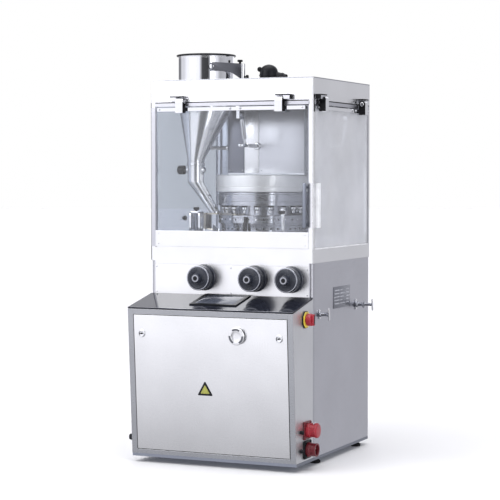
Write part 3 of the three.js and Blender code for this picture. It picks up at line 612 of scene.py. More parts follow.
def door_fittings():
    """Quarter-turn latches, stop button and the triangular plate."""
    latch_up, stop_up, plate_up = 484, 489, 316 - DOOR_FOOT.z
    collar = [(0, -13), (5, -13), (5, 0.3), (16.5, 0.3), (16.5, 2.2), (13.6, 5.8), (10.6, 5.8), (9.8, 1.8),
              (0, 1.8)]
    for node in ("latch_left", "latch_right"):
        body = node + "_body"
        centre = on_door(middle(node).x, latch_up)
        place = facing(centre, DOOR_OUT)

        def key(bm, place=place):
            add_disc(bm, place, 3.6, 1.8, 5.2, 32, 0.5)
            add_block(bm, (-8, -1.5, 1.8), (8, 1.5, 4.4), 0.4, place)

        def cam(bm, place=place):
            add_block(bm, (-7, -10, -15.5), (7, 42, -12.5), 0.8, place)
            add_disc(bm, place, 8.5, -17, -15.4, 6, 0.4)
        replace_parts(turned(node + "_collar", MIRROR, collar, centre, DOOR_OUT, body=body), node)
        piece(node + "_key", BLACK, key, body)
        piece(node + "_cam", SATIN, cam, body)

    low, high = spot("stop_button")
    radius = (high.x - low.x) / 2
    centre = on_door((low.x + high.x) / 2, stop_up)
    cap = [(0, -40), (10, -40), (10, 8), (radius - 4, 8), (radius, 10.4), (radius, 12.8),
           (radius - 3, 15.6), (21.5, 15.6), (20, 14.2), (13, 12.6), (0, 12.2)]
    button = turned("stop_button_cap", BUTTON_STEEL, cap, centre, DOOR_OUT, 96, body="stop_button_body")
    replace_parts(button, "stop_button")
    collar = [(14, 0.3), (26, 0.3), (26, 1.1), (24, 1.6), (14, 1.6)]
    turned("stop_button_collar", BLACK, collar, centre, DOOR_OUT, closed=True, body="door")

    def arcs(bm):
        for start in (56, 176, 296):
            angles = [start + 68 * step / 12 for step in range(13)]
            outline = [polar(32, angle) for angle in angles]
            outline += [polar(24, angle) for angle in reversed(angles)]
            add_prism(bm, outline, 0.35, facing(centre, DOOR_OUT) @ shift(0, 0, 15.5))
    piece("stop_button_marks", GREY_MARK, arcs, "stop_button_body")

    def triangle(side, corner):
        """Outline of an upright triangle with rounded corners."""
        points = []
        for tip in (90, 210, 330):
            x, y = polar(side / math.sqrt(3) - 2 * corner, tip)
            for turn in range(-60, 61, 20):
                dx, dy = polar(corner, tip + turn)
                points.append((x + dx, y + dy))
        return points
    sign = facing(on_door(-25, plate_up, 0.05), DOOR_OUT)
    piece("plate_border", BLACK, lambda bm: add_prism(bm, triangle(70, 3.5), 0.8, sign, 0.3), "door")
    piece("plate_face", OLIVE,
          lambda bm: add_prism(bm, triangle(42, 2), 0.5, sign @ shift(0, 0, 0.7), 0.2), "door")


def handwheels():
    """Three knobs of moulded plastic with turned rings, a bright rim and a nut in the hub."""
    grip = [(0, -60), (9, -60), (9, 0.3), (53, 0.3), (55, 2.5), (55, 8.5), (51, 12), (40, 14), (40, 23),
            (49, 26), (52, 30), (52, 34), (50.4, 36), (52, 38), (52, 58), (49.5, 62), (46, 62.2), (45, 66.5)]
    for ring in range(5):
        outer = 43.5 - ring * 4
        grip += [(outer, 67), (outer - 1.6, 68.2 + ring * 0.3), (outer - 3, 67 + ring * 0.2)]
    grip += [(22, 68), (19.5, 80), (18, 90), (16.5, 91.5), (0, 91.5)]
    rim = [(46.2, 61.5), (51, 61.5), (51.6, 63.4), (49.5, 66.2), (46.2, 66.2)]
    hub_ring = [(10, 90.8), (14.5, 90.8), (14.5, 92), (10, 92)]
    nut = [(0, 88), (8.6, 88), (8.6, 92), (0, 92)]
    bush = [(12, 0.2), (20, 0.2), (20, -0.2), (12, -0.2)]
    for side in ("left", "middle", "right"):
        node = f"handwheel_{side}"
        body = node + "_body"
        x, _, z = middle(node)
        axle = (x, 0, z), FRONT
        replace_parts(turned(node + "_grip", SLATE, grip, *axle, 112, soft=1.2, body=body), node)
        turned(node + "_rim", WHEEL_STEEL, rim, *axle, 112, closed=True, body=body)
        turned(node + "_hub_ring", WHEEL_STEEL, hub_ring, *axle, 64, closed=True, soft=0.3, body=body)
        turned(node + "_nut", BLACK, nut, *axle, 6, soft=0, body=body)
        panel = (x, spot("knob_panel")[0].y, z)
        turned(node + "_bush", DARK_STEEL, bush, panel, FRONT, 48, closed=True, soft=0)


def side_fittings():
    """Isolator, sockets, pulls, nubs, nameplate and cable gland."""
    low, high = spot("isolator_plate")
    wall = low.x
    _, y, z = (low + high) / 2
    place = facing((wall, y, z), RIGHT)

    def octagon(radius):
        return circle(radius, 8, 22.5)
    base = piece("isolator_base", BLACK, lambda bm: add_prism(bm, octagon(37), 4.5, place, 0.5))
    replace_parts(base, "isolator_plate")
    raised = place @ shift(0, 0, 4.4)
    piece("isolator_face", YELLOW, lambda bm: add_prism(bm, octagon(34.5), 3.6, raised, 1.2))

    def dial(bm):
        for x0, y0 in ((28, 0), (0, 28)):
            add_disc(bm, place @ shift(x0, y0), 2.2, 7.9, 8.4, 20)
    piece("isolator_marks", GREY_MARK, dial)
    drum = [(0, 1), (7, 1), (7, 9.5), (25, 9.5), (25, 28), (22, 31), (0, 31)]
    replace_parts(turned("isolator_drum", RED, drum, (wall, y, z), RIGHT, 64, body="isolator"),
                "isolator_knob")
    blocks("isolator_handle", RED, [((-8, -23, 24), (8, 23, 40))], 2.5, place, 3, "isolator")
    blocks("isolator_handle_end", BLACK, [((-5, -19, 38), (5, 19, 40.6))], 1, place, body="isolator")

    for name, is_open in (("socket_upper", False), ("socket_lower", True)):
        socket(name, is_open, wall)

    for name, plate_half, reach, stem in (
            ("side_knob_front", 19, 46, [(0, 1), (12, 1), (12, 7), (8, 11), (7, 24), (8, 36), (12, 43),
                                         (0, 43)]),
            ("side_knob_rear", 23, 80, [(0, 1), (14, 1), (14, 9), (9, 14), (8, 30), (9, 33), (14, 34.5),
                                        (16, 36.5), (16, 38.5), (14, 40.5), (6.5, 42), (6.5, 78),
                                        (0, 78)])):
        _, knob_y, knob_z = middle(name)
        centre = (wall, knob_y, knob_z)
        pull = facing(centre, RIGHT)
        bar = pull @ shift(0, 0, reach - 5) @ Matrix.Rotation(math.radians(6), 4, "Z")

        def ends(bm, pull=pull, bar=bar, plate_half=plate_half):
            add_block(bm, (-7, -plate_half, 0), (7, plate_half, 5), 2.2, pull, 3)
            add_block(bm, (-6, -26, 0), (6, 26, 5), 2.2, bar, 3)
        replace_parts(turned(name + "_stem", WHEEL_STEEL, stem, centre, RIGHT, 56, soft=1.2), name)
        piece(name + "_ends", MIRROR, ends)

    nub = [(0, 0), (8, 0), (8, 11), (6.5, 14.5), (0, 15)]
    for name, nub_z in (("side_nub_1", 84), ("side_nub_2", 160)):
        turned(name, BLACK, nub, (wall, -134, nub_z), RIGHT, 40, soft=1.5)

    plate_y, plate_z = 324, 678
    plate = facing((wall, plate_y, plate_z), RIGHT)
    blocks("nameplate", GREY_PLATE, [((-97, -45.5, -0.2), (97, 45.5, 1.4))], 0.5, plate)
    bars = []
    for row in range(5):
        y0 = 30 - row * 14
        bars += [((x0, y0 - 2.5, 1.3), (x1, y0 + 2.5, 1.75))
                 for x0, x1 in ((-84, -30), (-20, 10 + 14 * (row * 2 % 3)), (52, 84))]
    blocks("nameplate_lines", PLATE_PRINT, bars, 0.15, plate, 1)
    screws("nameplate_screws", [(wall + 1.3, plate_y + dy, plate_z) for dy in (-91, 91)], RIGHT, 2.8)

    low, high = spot("cable_gland")
    start = (high.x, (low.y + high.y) / 2, (low.z + high.z) / 2)
    nut = [(0, 0), (21, 0), (21, 8), (0, 8)]
    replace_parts(turned("gland_nut", BLACK, nut, start, LEFT, 6, soft=0), "cable_gland")
    cap = [(0, 7.8), (17, 7.8), (17, 12), (15.5, 13)]
    for rib in range(5):
        cap += [(17, 14.5 + rib * 3), (15.8, 16 + rib * 3)]
    cap += [(16, 30), (14, 34), (12.5, 41), (12, 45), (0, 45)]
    turned("gland_cap", BLACK, cap, start, LEFT, 40, soft=0.3)


def socket(name, is_open, wall):
    """Panel socket with a square flange; the closed one has a sprung lid."""
    low, high = spot(name)
    y, z = -67.5, low.z + 37
    place = facing((wall, y, z), RIGHT)
    look, flange_look = (DEEP_RED, BLACK) if is_open else (RED, DEEP_RED)

    def flange(bm):
        add_block(bm, (-37, -37, 0), (37, 37, 6), 2.2, place, 3)
        boss = soften([(0, 5.5), (5.5, 5.5), (5.5, 8), (3.5, 8), (3.2, 6.5), (0, 6.5)], 0.4)
        for dx in (-29, 29):
            for dy in (-29, 29):
                add_lathe(bm, boss, place @ shift(dx, dy), 24)
    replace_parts(piece(name + "_flange", flange_look, flange), name)
    rim = high.x - low.x - (0 if is_open else 12)
    shell = [(0, 5.5), (28, 5.5), (30, 7), (30, 19), (27, 21.5), (26.4, 24), (27.2, 27), (26.2, 29.5),
             (27.2, 32), (26.2, 34.5), (27.5, rim - 3), (27.5, rim), (22, rim), (21, rim - 2)]
    well_floor = rim - 34
    shell += [(21, well_floor), (0, well_floor)] if is_open else [(0, rim - 2)]
    turned(name + "_shell", look, shell, (wall, y, z), RIGHT, 64, soft=0.6)

    if is_open:
        pin = soften([(0, well_floor - 1), (3.4, well_floor - 1), (3.4, well_floor + 22),
                      (0, well_floor + 24)], 1)

        def pins(bm):
            for dx, dy in circle(12.5, 5, 90):
                add_lathe(bm, pin, place @ shift(dx, dy), 20)
        piece(name + "_pins", BRONZE, pins)
        return

    def lid(bm):
        shape = [(0, rim), (28.5, rim), (29.5, rim + 2), (29.5, rim + 9), (26, rim + 11.8), (0, rim + 12)]
        add_lathe(bm, soften(shape, 1), place, 64)
        add_block(bm, (-9, -28, rim + 1), (9, -23, rim + 10), 1, place)
        add_block(bm, (-10, 24, 12), (10, 30.5, rim + 9), 1.6, place)
    piece(name + "_lid", RED, lid)
    pin_x, pin_z = wall + rim - 6, z + 29.5
    piece(name + "_hinge_pin", SATIN,
          lambda bm: add_rod(bm, (pin_x, y - 12, pin_z), (pin_x, y + 12, pin_z), 3, 24, 0.5))


# ------------------------------------------------------------------ hinged windows
def window_place(label):
    """Matrix of a window's own frame: X along its width, outside at -Y, Z up."""
    if label == "front":
        return Matrix.Translation(at(0, 0, 0))
    wall = spot("table_frame")[1].x
    return Matrix.Translation(at(wall, middle("side_window_pane").y, 0)) @ axes(BACK, LEFT, UP)


def hinged_window(label, half, blocks_at, handle_at, clip_screws, handle_look):
    """Edging, hinges with black strips of painted shade on their sides and leaves, clips, gasket, handle and
    gas strut of one window; half is half its width.
    """
    body = f"{label}_window"
    place = window_place(label)
    outward = place.to_3x3() @ Vector(FRONT)
    along = place.to_3x3() @ Vector(RIGHT)
    low, high = spot(f"{label}_window_pane")

    def here(x, y, z):
        return (place @ (Vector((x, y, z)) * MM) - ORIGIN) / MM
    blocks(f"{label}_pane_edging", GREY_PLATE,
           [((x0, 1.06, z0), (x1, 5.7, high.z)) for x0, x1, z0 in (
               (-half, -half + 4, low.z), (half - 4, half, low.z), (-half + 4, half - 4, high.z - 4))],
           0.3, place, 1, body)

    # painted shade: thin black plates and discs on the hinge blocks' sides, where they lie in shade
    def block_side_shade(bm):
        for x in blocks_at:
            for side in (-1, 1):
                face = x + 17 * side
                add_block(bm, (face, -34.4, 1454), (face + 0.24 * side, -5, 1498), 0, place)
                add_disc(bm, facing(here(face, HINGE_Y, HINGE_Z), along * side), 15, 0, 0.24, 40)
    piece(f"{label}_hinge_side_shade", RUBBER, block_side_shade, body)

    def pins(bm):
        head = soften([(0, 0), (9, 0), (9, 3), (6, 4.6), (0, 4.6)], 0.6)
        for x, side in zip(blocks_at, (1, -1)):
            add_lathe(bm, head, facing(here(x + 17.2 * side, HINGE_Y, HINGE_Z), along * side), 36)
    piece(f"{label}_hinge_pins", SATIN, pins, body)

    # black strips on the hinge leaves' edges: partly the gap between roof and leaf, partly painted shade
    leaves = []
    for x, side in zip(blocks_at, (-1, 1)):
        outer, inner = x + 47 * side, x - 17.3 * side
        left, right = sorted((outer, inner))
        leaves += [((outer, -25.6, 1503.4), (outer + 0.3 * side, -0.8, 1522.6)),
                   ((inner, -25.6, 1518.4), (inner - 0.3 * side, -0.8, 1522.6)),
                   ((left, -26, 1522.9), (right, -0.6, 1523.3)),
                   ((left, -26.4, 1518.4), (right, -25.9, 1523.3))]
    blocks(f"{label}_leaf_edge_shade", RUBBER, leaves, 0, place)

    screws(f"{label}_clip_screws", [here(x, -9, 1469.5) for x in clip_screws], outward, 5.4, body=body)
    screws(f"{label}_rail_screws", [here(x, -9, 1469) for x in (24 - half, half - 24)], outward, 3.6,
           body=body)
    if label == "front":
        band = [here(x, -1.7, z) for x in (15 - half, half - 15) for z in (905, 948)]
        screws("front_band_screws", band, outward, 2.6, body=body)
    blocks(f"{label}_roof_gasket", RUBBER, [((-half, -3.9, 1495.6), (half, 5, 1499.8))], 0.2, place, 1)
    # painted shade: a darker steel face on the hinge strip under the roof's edge
    blocks(f"{label}_strip_painted_shade", SHEET_WALL_SHADED, [((1 - half, -3.8, 1482), (half - 1, -3.4, 1495.4))], 0,
           place)

    def thick_grip(bm):
        low_z, high_z = HANDLE_LOW + 0.5, HANDLE_HIGH - 0.5
        add_block(bm, (handle_at - 13, -15, HANDLE_LOW), (handle_at + 13, -10, HANDLE_HIGH), 2, place, 3)
        add_block(bm, (handle_at - 12.6, -11, low_z), (handle_at - 1, 0.9, high_z), 1, place)
        for z0, z1 in ((low_z, 1000), (1139, high_z)):
            add_block(bm, (handle_at - 2, -11, z0), (handle_at + 12.6, 0.9, z1), 1, place)

    def flat_grip(bm):
        add_block(bm, (handle_at - 8, -26, HANDLE_LOW), (handle_at + 8, -18, HANDLE_HIGH), 3.4, place, 4)
        foot = soften([(0, 0), (7.5, 0), (7.5, 2), (5, 3), (5, 19.5), (0, 19.5)], 0.6)
        for z in (HANDLE_LOW + 15, HANDLE_HIGH - 15):
            add_lathe(bm, foot, facing(here(handle_at, 0.9, z), outward), 32)
    grip = piece(f"{label}_pull_handle", handle_look, thick_grip if label == "side" else flat_grip, body)
    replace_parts(grip, f"{label}_window_handle")
    gas_strut(label, along)


def gas_strut(label, along):
    """Pressure tube with rolled end and eye, the chromed rod with its eye, the stay's wall flange."""
    tube_body, rod_body = f"{label}_strut_cylinder_body", f"{label}_strut_rod_body"
    top = (Vector(JOINTS[f"{label}_strut_tilt"]["pos_m"]) - ORIGIN) / MM
    down = Vector(JOINTS[f"{label}_strut_stroke"]["axis"])
    eye_radius = 8
    low_z = spot(f"{label}_strut_rod")[0].z + eye_radius
    length = (low_z - top.z) / down.z
    low = top + down * length

    def eye(bm, centre, outer, inner, half_width):
        ring = [(inner, 0), (outer, 0), (outer, half_width * 2), (inner, half_width * 2), (inner, 0)]
        add_lathe(bm, soften(ring, 0.8), facing(centre - along * half_width, along), 40)

    def upper_eye(bm):
        eye(bm, top, 9, 4.8, 6)
        add_disc(bm, facing(top, down), 5.5, 8, 15, 24)

    def lower_eye(bm):
        eye(bm, low, eye_radius, 4.4, 5)
        add_disc(bm, facing(low, -down), 4.2, 7, 14, 24)
    tube = [(0, 14.5), (8, 14.5), (10, 17), (10, length - 30), (8.6, length - 26.5), (5.6, length - 26),
            (5.6, 60), (0, 60)]
    rod = [(0, 62), (5, 62), (5, length - 12), (6.4, length - 11), (6.4, length - 7.6), (0, length - 7.6)]
    gas_tube = turned(f"{label}_gas_tube", SATIN, tube, top, down, 56, soft=1.4, body=tube_body)
    gas_rod = turned(f"{label}_gas_rod", MIRROR, rod, top, down, 40, soft=0.4, body=rod_body)
    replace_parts(gas_tube, f"{label}_strut_cylinder")
    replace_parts(gas_rod, f"{label}_strut_rod")
    piece(f"{label}_upper_eye", DARK_STEEL, upper_eye, tube_body)
    piece(f"{label}_lower_eye", DARK_STEEL, lower_eye, rod_body)
    stay_low, stay_high = spot(f"{label}_stay")
    flange = [(0, 0), (17, 0), (17, 3), (14.5, 5), (0, 5)]
    if label == "front":
        wall, normal = (stay_low.x + 14, stay_high.y, low_z), FRONT
    else:
        wall, normal = (stay_low.x, stay_low.y + 14, low_z), RIGHT
    turned(f"{label}_stay_flange", SATIN, flange, wall, normal, 48)


# ------------------------------------------------------------------ roof and hopper
def roof_fittings():
    """Grey strips of painted shade along the roof box's top edges, dust outlet, and the arm that holds the
    hopper.
    """
    (left, front, _), (right, back, _) = spot("roof_cap")
    # painted shade: grey strips for the shading of the roof's top edge bevel
    blocks("roof_edge_painted_shade", GREY_PLATE,
           [((left + 5, front - 0.25, ROOF - 4), (right - 5, front + 0.4, ROOF - 1)),
            ((right - 0.4, front + 5, ROOF - 4), (right + 0.25, back - 5, ROOF - 1))], 0)

    x, y = 44, 300
    foot = (x, y, ROOF + 0.3)
    dome = [(0, 0), (40, 0), (40, 5), (37.5, 7), (37.5, 10), (40, 12), (40, 36), (38.5, 46), (35, 56),
            (28, 65), (18, 71), (8, 74), (0, 75)]
    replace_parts(turned("outlet_dome", BLACK, dome, foot, UP, 72, soft=2), "dust_outlet")
    start, end = Vector((x + 22, y, ROOF + 32)), Vector((x + 80, y, ROOF + 16))
    reach = (end - start).length
    pipe = [(0, 0), (15, 0), (15, 34), (17, 36), (17, 44), (15, 46), (15, reach), (12.5, reach), (12.5, 40),
            (0, 40)]
    turned("outlet_pipe", BLACK, pipe, start, end - start, 48)

    def clamp(bm):
        add_rod(bm, (x - 18, y, ROOF + 42), (x - 42, y, ROOF + 55), 4.2, 24)
        ball = [(0, -11)] + [polar(11, degrees) for degrees in range(-75, 90, 15)] + [(0, 11)]
        add_lathe(bm, ball, facing((x - 43, y, ROOF + 55.3), UP), 36)
    piece("outlet_clamp", BLACK, clamp)
    for name, ring in (("outlet_band", [(40.2, 24), (42, 25), (42, 31), (40.2, 32)]),
                       ("outlet_flange", [(40.5, -0.2), (48, -0.2), (48, 2.4), (40.5, 2.4)])):
        turned(name, BLACK, ring, foot, UP, 72, closed=True)

    arm_start, arm_end = Vector((-136, 105, 0)), Vector((-62, 252, 0))
    length = (arm_end - arm_start).length
    direction = (arm_end - arm_start).normalized()
    side = direction.cross(Vector(UP))
    place = Matrix.Translation(at(*(arm_start - side * 3))) @ axes(direction, UP, side)
    outline = [(0, 1637)] + bend((length * 0.42, 1637), (length * 0.72, 1636), (length, 1601), 10)
    outline += [(length, 1672)] + bend((8, 1672), (0, 1672), (0, 1664), 5)
    plate = piece("arm_plate", ARM_STEEL, lambda bm: add_prism(bm, outline, 6, place, 0.9))
    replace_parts(plate, "hopper_arm")
    post = arm_end + direction * 6
    thumb = arm_end - direction * 10
    turned("arm_post", MIRROR, [(0, 0), (15, 0), (15, 4), (10, 6), (10, 78.5), (0, 78.5)],
           (post.x, post.y, ROOF + 0.3), UP, 56)
    screw = [(0, 0), (5, 0), (5, 6), (11, 8), (11.5, 9), (11.5, 15), (10, 16.5), (0, 16.5)]
    turned("arm_thumb_screw", BLACK, screw, (thumb.x, thumb.y, 1671), UP, 28)
    turned("arm_lock_knob", BLACK, [(0, 0), (4, 0), (4, 7), (9, 9), (9, 17), (0, 18)],
           (post.x + 10, post.y - 6, 1614), RIGHT, 28)
    start = arm_start + Vector((0, 0, 1654))
    inward = (Vector((*BUCKET, 1654)) - start).normalized()
    piece("arm_boss", SATIN, lambda bm: add_rod(bm, start, start + inward * 27, 9, 32))


def hopper():
    """Bucket, oblique cone, throat and slanting spout as one thin welded skin, and the flow valve."""
    def between(t, low, high, foot, top, radius_low, radius_high):
        """Circle at a share t of the way between two level circles."""
        x, y, z = Vector((*low, foot)).lerp(Vector((*high, top)), t)
        return x, y, z, radius_low + (radius_high - radius_low) * t

    def cone(t, radius_low=35.0, radius_high=119.0):
        return between(t, THROAT, BUCKET, 1256, 1490, radius_low, radius_high)

    def slant(t, radius_low, radius_high):
        return between(t, SPOUT, THROAT, 1032, 1164, radius_low, radius_high)
    outer = [(*BUCKET, z, radius) for z, radius in ((1707, 122.4), (1701, 119.6), (1693, 119), (1494, 119),
                                                    (1491, 118.8))]
    outer += [cone(0.985), cone(0.5), cone(0.02)]
    outer += [(*THROAT, 1254, 35), (*THROAT, 1168, 35), (*THROAT, 1165, 34.9)]
    outer += [slant(t, 21, 35) for t in (0.97, 0.5, 0.0)]
    inner = [slant(t, 18, 32) for t in (0.0, 0.5, 0.97)] + [(*THROAT, 1165, 32), (*THROAT, 1254, 32)]
    inner += [cone(0.02, 32, 116), cone(0.985, 32, 116)]
    inner += [(*BUCKET, 1494, 116), (*BUCKET, 1699, 116), (*BUCKET, 1707, 118.6)]
    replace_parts(piece("hopper_skin", HOPPER_STEEL, lambda bm: add_loft(bm, outer + inner, 128)), "hopper")

    sleeve = [(118.5, 1494.5), (119.4, 1494.5), (119.4, 1692), (118.5, 1692)]
    turned("bucket_sleeve", BUCKET_STEEL, sleeve, (*BUCKET, 0), UP, 128, closed=True, soft=0)
    # painted shade: a black bead for the shaded underside of the bucket's rolled rim
    bead = [(124 + x, z) for x, z in circle(4.2, 12)]
    turned("hopper_rim_shade", BLACK, bead, (*BUCKET, 1706.4), UP, 128, closed=True, soft=0)
    for name, centre, z, radius in (("bucket_weld", BUCKET, 1491, 118.8), ("cone_weld", THROAT, 1255, 35.2),
                                    ("spout_weld", THROAT, 1164.6, 35)):
        weld = [(radius + x, y) for x, y in circle(1.1, 6)]
        turned(name, SATIN, weld, (*centre, z), UP, 96, closed=True, soft=0)
    ferrule = [(35.2, -7), (39.5, -5), (39.5, -1), (38, 0), (39.5, 1), (39.5, 5), (35.2, 7)]
    turned("throat_ferrule", MIRROR, ferrule, (*THROAT, 1240), UP, 72, closed=True, soft=0.4)
    lip = [(21.2, 0), (23.5, 1), (23.5, 5), (21.9, 7)]
    turned("spout_lip", MIRROR, lip, (*SPOUT, 1032.4), UP, 56, closed=True, soft=0.3)

    valve = (*THROAT, 1216)
    shaft = [(0, 52), (6.5, 52), (6.5, -46), (0, -46)]
    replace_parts(turned("valve_shaft", SATIN, shaft, valve, LEFT, 32, body="hopper_valve"), "valve_knob")
    flap = [(0, -1.6), (28.5, -1.6), (28.5, 1.6), (0, 1.6)]
    turned("valve_flap", SATIN, flap, valve, FRONT, 64, body="hopper_valve")
    knob = [(0, 48), (9, 48), (9, 52), (18, 53), (19.5, 55), (19.5, 78), (17.5, 82), (11, 84), (0, 84)]
    turned("valve_grip", BLACK, knob, valve, LEFT, 56, soft=1.5, body="hopper_valve")
    bush = [(7.8, 33), (12, 33), (12, 42), (10.5, 43.5), (7.8, 43.5)]
    turned("valve_bush", SATIN, bush, valve, LEFT, 48, closed=True)
    turned("valve_end_bush", SATIN, bush, valve, RIGHT, 48, closed=True)

    start = Vector((spot("head_housing")[0].x, 236, 1310))
    reach = Vector(cone(0.23)[:3]) - start
    reach.z = 0

    def support(bm):
        add_rod(bm, start, start + reach.normalized() * (reach.length - 52), 8, 32)
        add_disc(bm, facing(start, LEFT), 15, 0, 5, 40, 0.8)
    piece("hopper_support", SATIN, support)


# ------------------------------------------------------------------ pressing chamber
# Punch stations and the radius of the circle they stand on.
STATIONS, PITCH = 19, 172


def around(centre, radius, count, start=0.0):
    """Points round an upright axis, with their outward directions."""
    for x, y in circle(1, count, start):
        out = Vector((x, y, 0))
        yield centre + out * radius, out


def turret():
    """Drum, die table and skirt in one turning, with dies, lock screws, punches and the cam ring."""
    low, high = spot("turret")
    centre = Vector(((low.x + high.x) / 2, (low.y + high.y) / 2, 0))
    body = "turret_body"
    shape = [(35, low.z), (186, low.z), (186, 951), (183, 953), (183, 978), (186, 980), (186, 988),
             (197, 989), (197, 996), (195.5, 997.5), (195.5, 1012), (197, 1013.5), (197, DIE_TOP),
             (110, DIE_TOP), (110, 1084), (188, 1084), (188, 1064), (198, 1064), (198, 1076),
             (196.4, 1077), (196.4, 1081), (198, 1082), (198, 1111), (196, 1113), (196, 1120), (35, 1120)]
    drum = turned("turret_body_turning", TURRET_STEEL, shape, centre, UP, 144, closed=True, soft=0.7,
                  body=body)
    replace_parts(drum, "turret")

    def stations(bm, profile, z, segments):
        """The same small turning at every punch station."""
        for point, _ in around(centre, PITCH, STATIONS):
            add_lathe(bm, profile, facing((point.x, point.y, z), UP), segments)
    die = soften([(6.2, -3), (13, -3), (13, 0.4), (12, 0.7), (7, 0.7), (6.2, 0.2), (6.2, -3)], 0.3)
    piece("dies", MIRROR, lambda bm: stations(bm, die, DIE_TOP, 36), body)
    screw_z, bore_z = 1004.8, 965.5

    def bores(bm):
        stations(bm, [(0, -2), (6.1, -2), (6.1, 0.15), (0, 0.15)], DIE_TOP, 28)
        for z, radius, count, start, bore, proud in ((bore_z, 182.9, STATIONS * 2, 0, 4.2, 0.5),
                                                     (screw_z, 195.4, STATIONS, 180 / STATIONS, 3.4, 0.3)):
            for point, out in around(centre, radius, count, start):
                add_disc(bm, facing((point.x, point.y, z), out), bore, -1, proud, 20)
    piece("turret_bores", RUBBER, bores, body)

    def lock_screws(bm):
        for z, radius, count, start, size in ((screw_z, 195.5, STATIONS, 0, 5.2),
                                              (bore_z, 183, STATIONS * 2, 90 / STATIONS, 3.0)):
            for point, out in around(centre, radius, count, start):
                add_screw(bm, (point.x, point.y, z), out, size)
    piece("die_lock_screws", SATIN, lock_screws, body)

    punch = soften([(0, 1032), (5.6, 1032), (5.6, 1043), (8, 1046), (11, 1048), (11, 1066), (8.4, 1068),
                    (8.4, 1071), (11, 1073), (11, 1083.5), (0, 1083.5)], 0.5)
    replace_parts(piece("punch_set", MIRROR, lambda bm: stations(bm, punch, 0, 32), body), "upper_punches")
    guide = [(161, 1071), (183, 1071), (183, 1082), (161, 1082)]
    turned("punch_guide", DARK_STEEL, guide, centre, UP, 128, closed=True, body=body)
    boot = soften([(11.2, 1057), (14, 1057), (12.4, 1060), (14, 1062.5), (12.4, 1065), (14, 1067.5),
                   (14, 1070.5), (11.2, 1070.5), (11.2, 1057)], 0.3)
    piece("punch_boots", BLACK, lambda bm: stations(bm, boot, 0, 28), body)

    low, high = spot("upper_cam_ring")
    outer = (high.x - low.x) / 2
    ring = [(120, high.z - 10), (outer - 8, high.z - 10), (outer - 8, low.z), (outer - 1, low.z),
            (outer, low.z + 2), (outer, 1141), (outer - 1.2, 1142), (outer - 1.2, 1144), (outer, 1145),
            (outer, high.z - 3), (outer - 3, high.z), (120, high.z)]
    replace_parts(turned("cam_ring", RING_STEEL, ring, centre, UP, 160, closed=True), "upper_cam_ring")
    bolts = [centre + Vector((*polar(190, degrees), high.z)) for degrees in range(-138, -41, 24)]
    screws("cam_ring_bolts", bolts, UP, 5.5)


def head_details():
    """Cover plates and screws of the press head, the left plate dark as painted shade; the post behind it.
    """
    (left, face, _), (right, back, _) = spot("head_housing")
    bottom, top = 1203, 1490
    # the left plate's dark steel is painted shade, standing in for a dark band on the head's face
    for name, x0, x1, look, proud in (
            ("head_cover_left_painted_shade", left + 1, left + 77, COVER_STEEL_SHADED, 1.2),
            ("head_cover_middle", left + 79, left + 145, SHEET_BRIGHT, 2.2),
            ("head_cover_right", left + 147, right - 1, PANEL_STEEL, 1.2)):
        blocks(name, look, [((x0, face - proud, bottom), (x1, face + 0.5, top))], 0.6)
    rows = (bottom + 11, top - 12)
    places = [(x, face - 1.2, z) for x in (left + 10, left + 68, left + 158, right - 12) for z in rows]
    screws("head_cover_screws", places, FRONT, 3.4)
    cover = (right - 0.5, face + 14, bottom), (right + 1.4, back - 90, top)
    blocks("head_cover_side", PANEL_STEEL, [cover], 0.6)
    places = [(right + 1.4, y, z) for y in (face + 26, back - 102) for z in rows]
    screws("head_side_screws", places, RIGHT, 3.4)
    blocks("rear_post", CHAMBER_STEEL, [((-322, 610, TABLE_TOP), (-288, 642, 1497))], 2)


